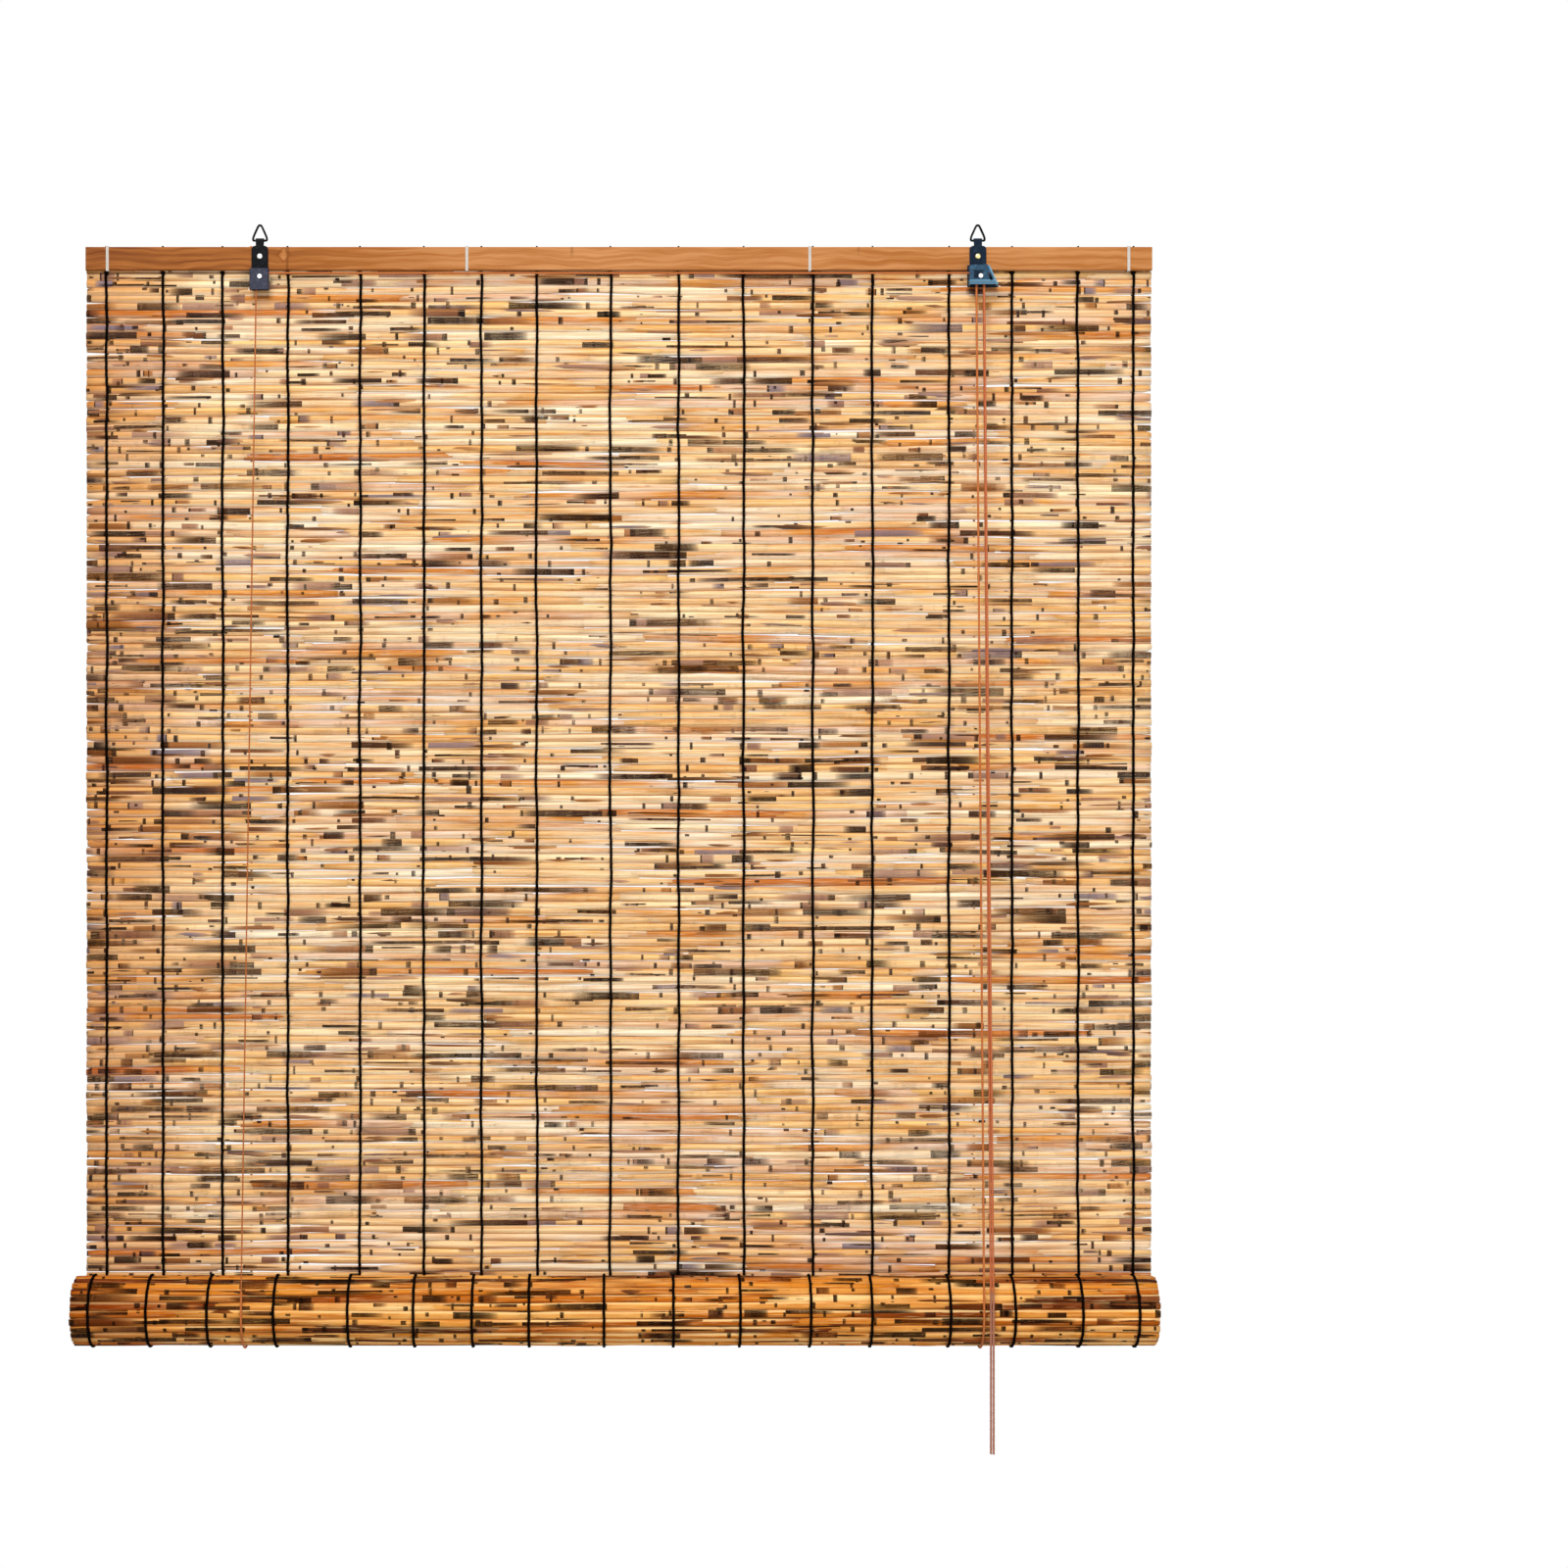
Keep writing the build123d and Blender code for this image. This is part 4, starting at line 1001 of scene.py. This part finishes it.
# Radius and height of a tack's head, from its rim to its crown
tack_profile = ((0.0023, 0.0), (0.0026, 0.0002), (0.0024, 0.0007), (0.0017, 0.0011), (0.0008, 0.0013))

painted_metal, entry, leave = start_group(
    "painted_metal",
    {"Place": "Vector", "Paint": "Color", "Worn": "Color"},
    {"Colour": "Color", "Roughness": "Float", "Height": "Float"},
)
speckle = add_node(painted_metal, "ShaderNodeTexNoise", {"Scale": 900.0, "Detail": 3.0})
feed(painted_metal, speckle.inputs["Vector"], entry.outputs["Place"])
rubbed = add_node(painted_metal, "ShaderNodeTexNoise", {"Scale": 260.0, "Detail": 4.0, "Roughness": 0.65})
feed(painted_metal, rubbed.inputs["Vector"], entry.outputs["Place"])
rub_share = ease(painted_metal, rubbed.outputs[0], 0.5, 0.72)
paint = mix_colours(painted_metal, rub_share, entry.outputs["Paint"], entry.outputs["Worn"])
feed(painted_metal, leave.inputs["Colour"], paint)
dullness = calc(painted_metal, "MULTIPLY_ADD", speckle.outputs[0], 0.3, 0.25)
feed(painted_metal, leave.inputs["Roughness"], dullness)
feed(painted_metal, leave.inputs["Height"], speckle.outputs[0])


def metal_finish(name, paint, worn, metallic, gloss):
    """Painted, plated or bare metal: two shades, fine specks and rubbed patches."""
    material, tree, shader = start_material(name, {"Metallic": metallic, "Specular IOR Level": gloss})
    coat = add_node(tree, "ShaderNodeGroup", node_tree=painted_metal)
    feed(tree, coat.inputs["Place"], add_node(tree, "ShaderNodeTexCoord").outputs["Object"])
    coat.inputs["Paint"].default_value = paint
    coat.inputs["Worn"].default_value = worn
    feed(tree, shader.inputs["Base Color"], coat.outputs["Colour"])
    feed(tree, shader.inputs["Roughness"], coat.outputs["Roughness"])
    roughen(tree, shader, coat.outputs["Height"], metal_speck_depth)
    return material


black_metal = metal_finish("black_metal", screen_colour(10, 11, 14), screen_colour(28, 30, 38), 0.0, 0.06)
blue_metal = metal_finish("blue_black_metal", screen_colour(14, 28, 44), screen_colour(34, 56, 74), 0.0, 0.08)
bright_metal = metal_finish("nickel", screen_colour(246, 244, 240), screen_colour(214, 210, 204), 0.8, 0.5)
brass_metal = metal_finish("brass", screen_colour(236, 218, 150), screen_colour(196, 170, 96), 0.8, 0.5)
finish_node(black_metal, "left_hanger_plate")
finish_node(blue_metal, "right_hanger_plate")

other_half = [(-across, height) for across, height in reversed(ring_half_outline[1:-1])]
for side, place in hanger_places.items():
    ring_path = []
    for across_share, height_share in (*ring_half_outline, *other_half):
        height = ring_base_height + height_share * (ring_top - ring_base_height)
        ring_path.append((place + across_share * ring_half_base, 0, height))
    ring = path_piece(side + "_ring_wire", [ring_path], "NURBS", True)
    ring.data.bevel_depth = ring_wire_radius
    ring.data.bevel_resolution = 3
    ring.data.resolution_u = 6
    ring.data.materials.append(black_metal)
    ring = make_mesh(ring)
    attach(ring, side + "_ring")
    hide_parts(side + "_hanger_ring")


def turned_piece(name, centre, profile, sides, material):
    """A round piece turned from its profile of radius and height, with its axis towards the room."""
    points = []
    faces = []
    for radius, rise in profile:
        for side in range(sides):
            angle = 2 * math.pi * side / sides
            offset = Vector((radius * math.cos(angle), -rise, radius * math.sin(angle)))
            points.append(tuple(Vector(centre) + offset))
    for level in range(len(profile) - 1):
        for side in range(sides):
            following = (side + 1) % sides
            low = level * sides
            faces.append((low + side, low + following, low + sides + following, low + sides + side))
    faces.append(tuple(reversed(range(sides))))
    faces.append(tuple(range(len(points) - sides, len(points))))
    mesh = bpy.data.meshes.new(name)
    mesh.from_pydata(points, [], faces)
    mesh.materials.append(material)
    for face in mesh.polygons:
        face.use_smooth = True
    return show(bpy.data.objects.new(name, mesh))


for side, material in (("left", bright_metal), ("right", brass_metal)):
    tack_place = (hanger_places[side], tack_face, tack_height)
    tack = turned_piece(side + "_tack", tack_place, tack_profile, tack_sides, material)
    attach(tack, "head_rail")

# Pulley on the left hanger: a housing pressed from sheet and painted grey, with a plastic wheel in it.
# The wheel turns on a bright rivet, like the roller of the cord lock.
plastic_colour = screen_colour(232, 230, 222)
plastic_dull_colour = screen_colour(214, 210, 198)
plastic_grain_depth = 0.0001

grey_metal = metal_finish("grey_metal", screen_colour(48, 49, 64), screen_colour(72, 75, 92), 0.0, 0.15)
finish_node(grey_metal, "pulley_housing")
finish_node(bright_metal, "axle_rivets")
white_plastic, tree, shader = start_material("white_plastic")
spot = add_node(tree, "ShaderNodeTexCoord").outputs["Object"]
grain = add_node(tree, "ShaderNodeTexNoise", {"Vector": spot, "Scale": 700.0, "Detail": 2.0})
plastic_tone = mix_colours(tree, grain.outputs[0], plastic_colour, plastic_dull_colour)
feed(tree, shader.inputs["Base Color"], plastic_tone)
feed(tree, shader.inputs["Roughness"], calc(tree, "MULTIPLY_ADD", grain.outputs[0], 0.2, 0.35))
roughen(tree, shader, grain.outputs[0], plastic_grain_depth)
finish_node(white_plastic, "pulley_wheel", "lock_roller")

# Cord lock on the right hanger: a painted cover pressed from sheet, lighter along the rims, partly paint
# rubbed bright and partly a painted highlight.
# It holds a roller, and a barrel that drops along the slanted side and pinches the cords.
# A dark square plate lies in the sunk panel round the head of the rivet, as painted shade in the recess.
lock_metal = metal_finish("blue_grey_metal", screen_colour(34, 64, 86), screen_colour(62, 100, 124), 0.0, 0.2)
lock_rim_highlight_colour = screen_colour(112, 158, 182)
lock_low_corner = (0.3542, -0.056)
lock_slope = (0.9134, 0.40706)
lock_rim_width = 0.0018
lock_band_top = -0.0522
lock_band_edge = 0.0007
tree = lock_metal.node_tree
shader = tree.nodes["Principled BSDF"]
paint = shader.inputs["Base Color"].links[0].from_socket
place = add_node(tree, "ShaderNodeSeparateXYZ")
feed(tree, place.inputs["Vector"], add_node(tree, "ShaderNodeTexCoord").outputs["Object"])
# Painted highlight, partly rubbed paint: lighter colour along the slanted side, along the top edge of the
# lower band, and over that band
inward = calc(tree, "MULTIPLY", calc(tree, "SUBTRACT", lock_low_corner[0], place.outputs["X"]), lock_slope[0])
upward = calc(tree, "SUBTRACT", lock_low_corner[1], place.outputs["Z"])
inward = calc(tree, "MULTIPLY_ADD", upward, lock_slope[1], inward)
rim = ease(tree, inward, lock_rim_width, lock_rim_width * 0.5)
band_edge = calc(tree, "ABSOLUTE", calc(tree, "SUBTRACT", place.outputs["Z"], lock_band_top))
rim = calc(tree, "MAXIMUM", rim, ease(tree, band_edge, lock_band_edge, lock_band_edge * 0.4))
band = calc(tree, "MULTIPLY", calc(tree, "LESS_THAN", place.outputs["Z"], lock_band_top), 0.45)
rim = calc(tree, "MULTIPLY", calc(tree, "MAXIMUM", rim, band), 0.8)
feed(tree, shader.inputs["Base Color"], mix_colours(tree, rim, paint, lock_rim_highlight_colour))
finish_node(lock_metal, "lock_cover")
finish_node(grey_metal, "lock_barrel")
# Painted shade: a dark plate laid in the cover's sunk panel, where the recess is in shade
recess_shade_low = (0.33175, -0.01065, -0.05005)
recess_shade_high = (0.34015, -0.01045, -0.04265)
recess_shade_corners = []
for height in (recess_shade_low[2], recess_shade_high[2]):
    recess_shade_corners += [
        (recess_shade_low[0], recess_shade_low[1], height), (recess_shade_high[0], recess_shade_low[1], height),
        (recess_shade_high[0], recess_shade_high[1], height), (recess_shade_low[0], recess_shade_high[1], height),
    ]
recess_shade_faces = ((3, 2, 1, 0), (4, 5, 6, 7), (0, 1, 5, 4), (1, 2, 6, 5), (2, 3, 7, 6), (3, 0, 4, 7))
recess_shade_mesh = bpy.data.meshes.new("lock_recess_shade")
recess_shade_mesh.from_pydata(recess_shade_corners, [], recess_shade_faces)
recess_shade_mesh.materials.append(blue_metal)
lock_recess_shade = show(bpy.data.objects.new("lock_recess_shade", recess_shade_mesh))
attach(lock_recess_shade, "head_rail")

# Lift cords: orange-brown twisted cord. Each is knotted on the rear lath and goes down behind the mat,
# under the roll and up in front.
# The left one turns over the pulley and runs along the head rail to the lock, where it meets the right one.
cord_radius = 0.0012
cord_lay = 0.008
cord_step = 0.0016
hang_top = -0.019
rear_strand_depth = 0.01055
front_strand_depth = -0.06025
sling_places = {"left": -0.346, "right": 0.33435}
rear_layer = -0.00445
front_layer = -0.00745
pulley_cord_x = -0.3394
lock_entry_x = 0.33435
lock_exit_x = 0.34155
lock_bottom = -0.056
axle_height = -0.048
cord_turn_radius = 0.0036
# The lowest stretch of a front strand goes with the roll, so that a raised roll has the cord outside it
carried_rise = 0.022
rail_cord_radius = cord_radius * 0.9
front_radius = {"left": 0.0009, "right": cord_radius}
lift_knot_rise = 0.0012
lift_knot_size = 0.0005
lift_knot_radius = 0.0009
lift_knot_step = 0.0008

lift_cord = yarn_finish("lift_cord", screen_colour(184, 98, 44), screen_colour(210, 140, 84), 0.6, 0.2)
pull_cord = yarn_finish("pull_cord", screen_colour(184, 94, 52), screen_colour(206, 134, 92), 0.6, 0.2)
pull_cord_end = yarn_finish(
    "pull_cord_end", screen_colour(162, 100, 76), screen_colour(184, 148, 130), 0.6, 0.2
)


def take_up(piece, node):
    """A taut strand from the head rail, given a mesh of its own."""
    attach(piece, "head_rail")
    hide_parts(node)
    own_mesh(piece)


def foot_of(top, bottom):
    """The point of a strand from which its lowest stretch goes with the roll."""
    share = carried_rise / (top[2] - bottom[2])
    return tuple(Vector(bottom).lerp(Vector(top), share))


front_tops = {
    "left": (pulley_cord_x, rear_layer, axle_height),
    "right": (lock_entry_x, front_layer, lock_bottom),
}
sling_runs = []
knot_runs = []
for side, place in sling_places.items():
    rear_top = (place, rear_strand_depth, hang_top)
    rear_bottom = (place, rear_strand_depth, roll_axis_height)
    front_bottom = (place, front_strand_depth, roll_axis_height)
    run = [rear_top, rear_bottom]
    rear = lay_cord(side + "_rear_strand", [run], cord_radius, cord_lay, cord_step, lift_cord)
    take_up(rear, side + "_rear_cord")
    front_top = front_tops[side]
    front_foot = foot_of(front_top, front_bottom)
    run = [front_top, front_foot]
    front = lay_cord(side + "_front_strand", [run], front_radius[side], cord_lay, cord_step, lift_cord)
    take_up(front, side + "_front_cord")
    sling = []
    sling_radius = rear_strand_depth - roll_axis_depth
    for point in range(roll_turn_points + 1):
        turn = math.pi * point / roll_turn_points
        depth = roll_axis_depth + sling_radius * math.cos(turn)
        sling.append((place, depth, roll_axis_height - sling_radius * math.sin(turn)))
    sling.append(front_foot)
    sling_runs.append(sling)
    knot_runs.append(overhand_knot((place, rear_strand_depth, hang_top + lift_knot_rise), lift_knot_size))

slings = lay_cord("sling_cords", sling_runs, cord_radius, cord_lay, cord_step, lift_cord)
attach(slings, "slings")
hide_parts("roll_slings")
cord_knots = lay_cord(
    "rear_knots", knot_runs, lift_knot_radius, cord_lay, lift_knot_step, lift_cord, closed=True
)
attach(cord_knots, "head_rail")
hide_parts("cord_knots")


def over_wheel(x, depth, first, last):
    """Points of a cord's turn over a wheel, between two shares of half a turn."""
    points = []
    turn_points = 8
    for point in range(turn_points + 1):
        angle = math.pi * (1 - first - (last - first) * point / turn_points)
        across = x + cord_turn_radius * math.cos(angle)
        points.append((across, depth, axle_height + cord_turn_radius * math.sin(angle)))
    return points


rail_run = over_wheel(pulley_cord_x + cord_turn_radius, rear_layer, 0.0, 0.5)
rail_run += over_wheel(lock_exit_x - cord_turn_radius, rear_layer, 0.5, 1.0)
rail_run.append((lock_exit_x, rear_layer, lock_bottom))
lock_run = [(lock_entry_x, front_layer, lock_bottom)]
lock_run += over_wheel(lock_entry_x + cord_turn_radius, front_layer, 0.0, 1.0)
lock_run.append((lock_exit_x, front_layer, lock_bottom))
rail_cords = lay_cord("rail_cords", [rail_run, lock_run], rail_cord_radius, cord_lay, cord_step, lift_cord)
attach(rail_cords, "head_rail")
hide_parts("head_cords")

# Pull cords: the two free ends of the lift cords, hanging from the lock in front of the roll.
# They are cut off bare a hand's width below it.
pull_end_height = -1.13568
straight_lead = 0.0132
pull_layers = {"left": rear_layer, "right": front_layer}
# Where each cord passes in front of the roll's axis
pull_feet = {"left": (0.3404, -0.06105), "right": (0.3427, -0.06225)}


def spline_points(name, points):
    """The points of the smooth line that a cord's route gives."""
    line = make_mesh(path_piece(name, [points], "NURBS"))
    places = [tuple(vertex.co) for vertex in line.data.vertices]
    bpy.data.objects.remove(line)
    return places


for side, layer in pull_layers.items():
    top = (lock_exit_x, layer, lock_bottom)
    bottom = (*pull_feet[side], roll_axis_height)
    foot = foot_of(top, bottom)
    lead = (Vector(foot) - Vector(top)).normalized() * straight_lead
    upper_points = [top, tuple(Vector(top) + lead), tuple(Vector(foot) - lead), foot]
    upper_path = spline_points(side + "_pull_line", upper_points)
    upper = lay_cord(side + "_pull_cord", [upper_path], cord_radius, cord_lay, cord_step, pull_cord)
    take_up(upper, side + "_pull_cord_upper")
    tail_end = (bottom[0], bottom[1], pull_end_height)
    lower_path = spline_points(side + "_tail_line", [foot, bottom, tail_end])
    lower = lay_cord(side + "_pull_tail", [lower_path], cord_radius, cord_lay, cord_step, pull_cord_end)
    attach(lower, "slings")
    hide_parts(side + "_pull_cord_lower")
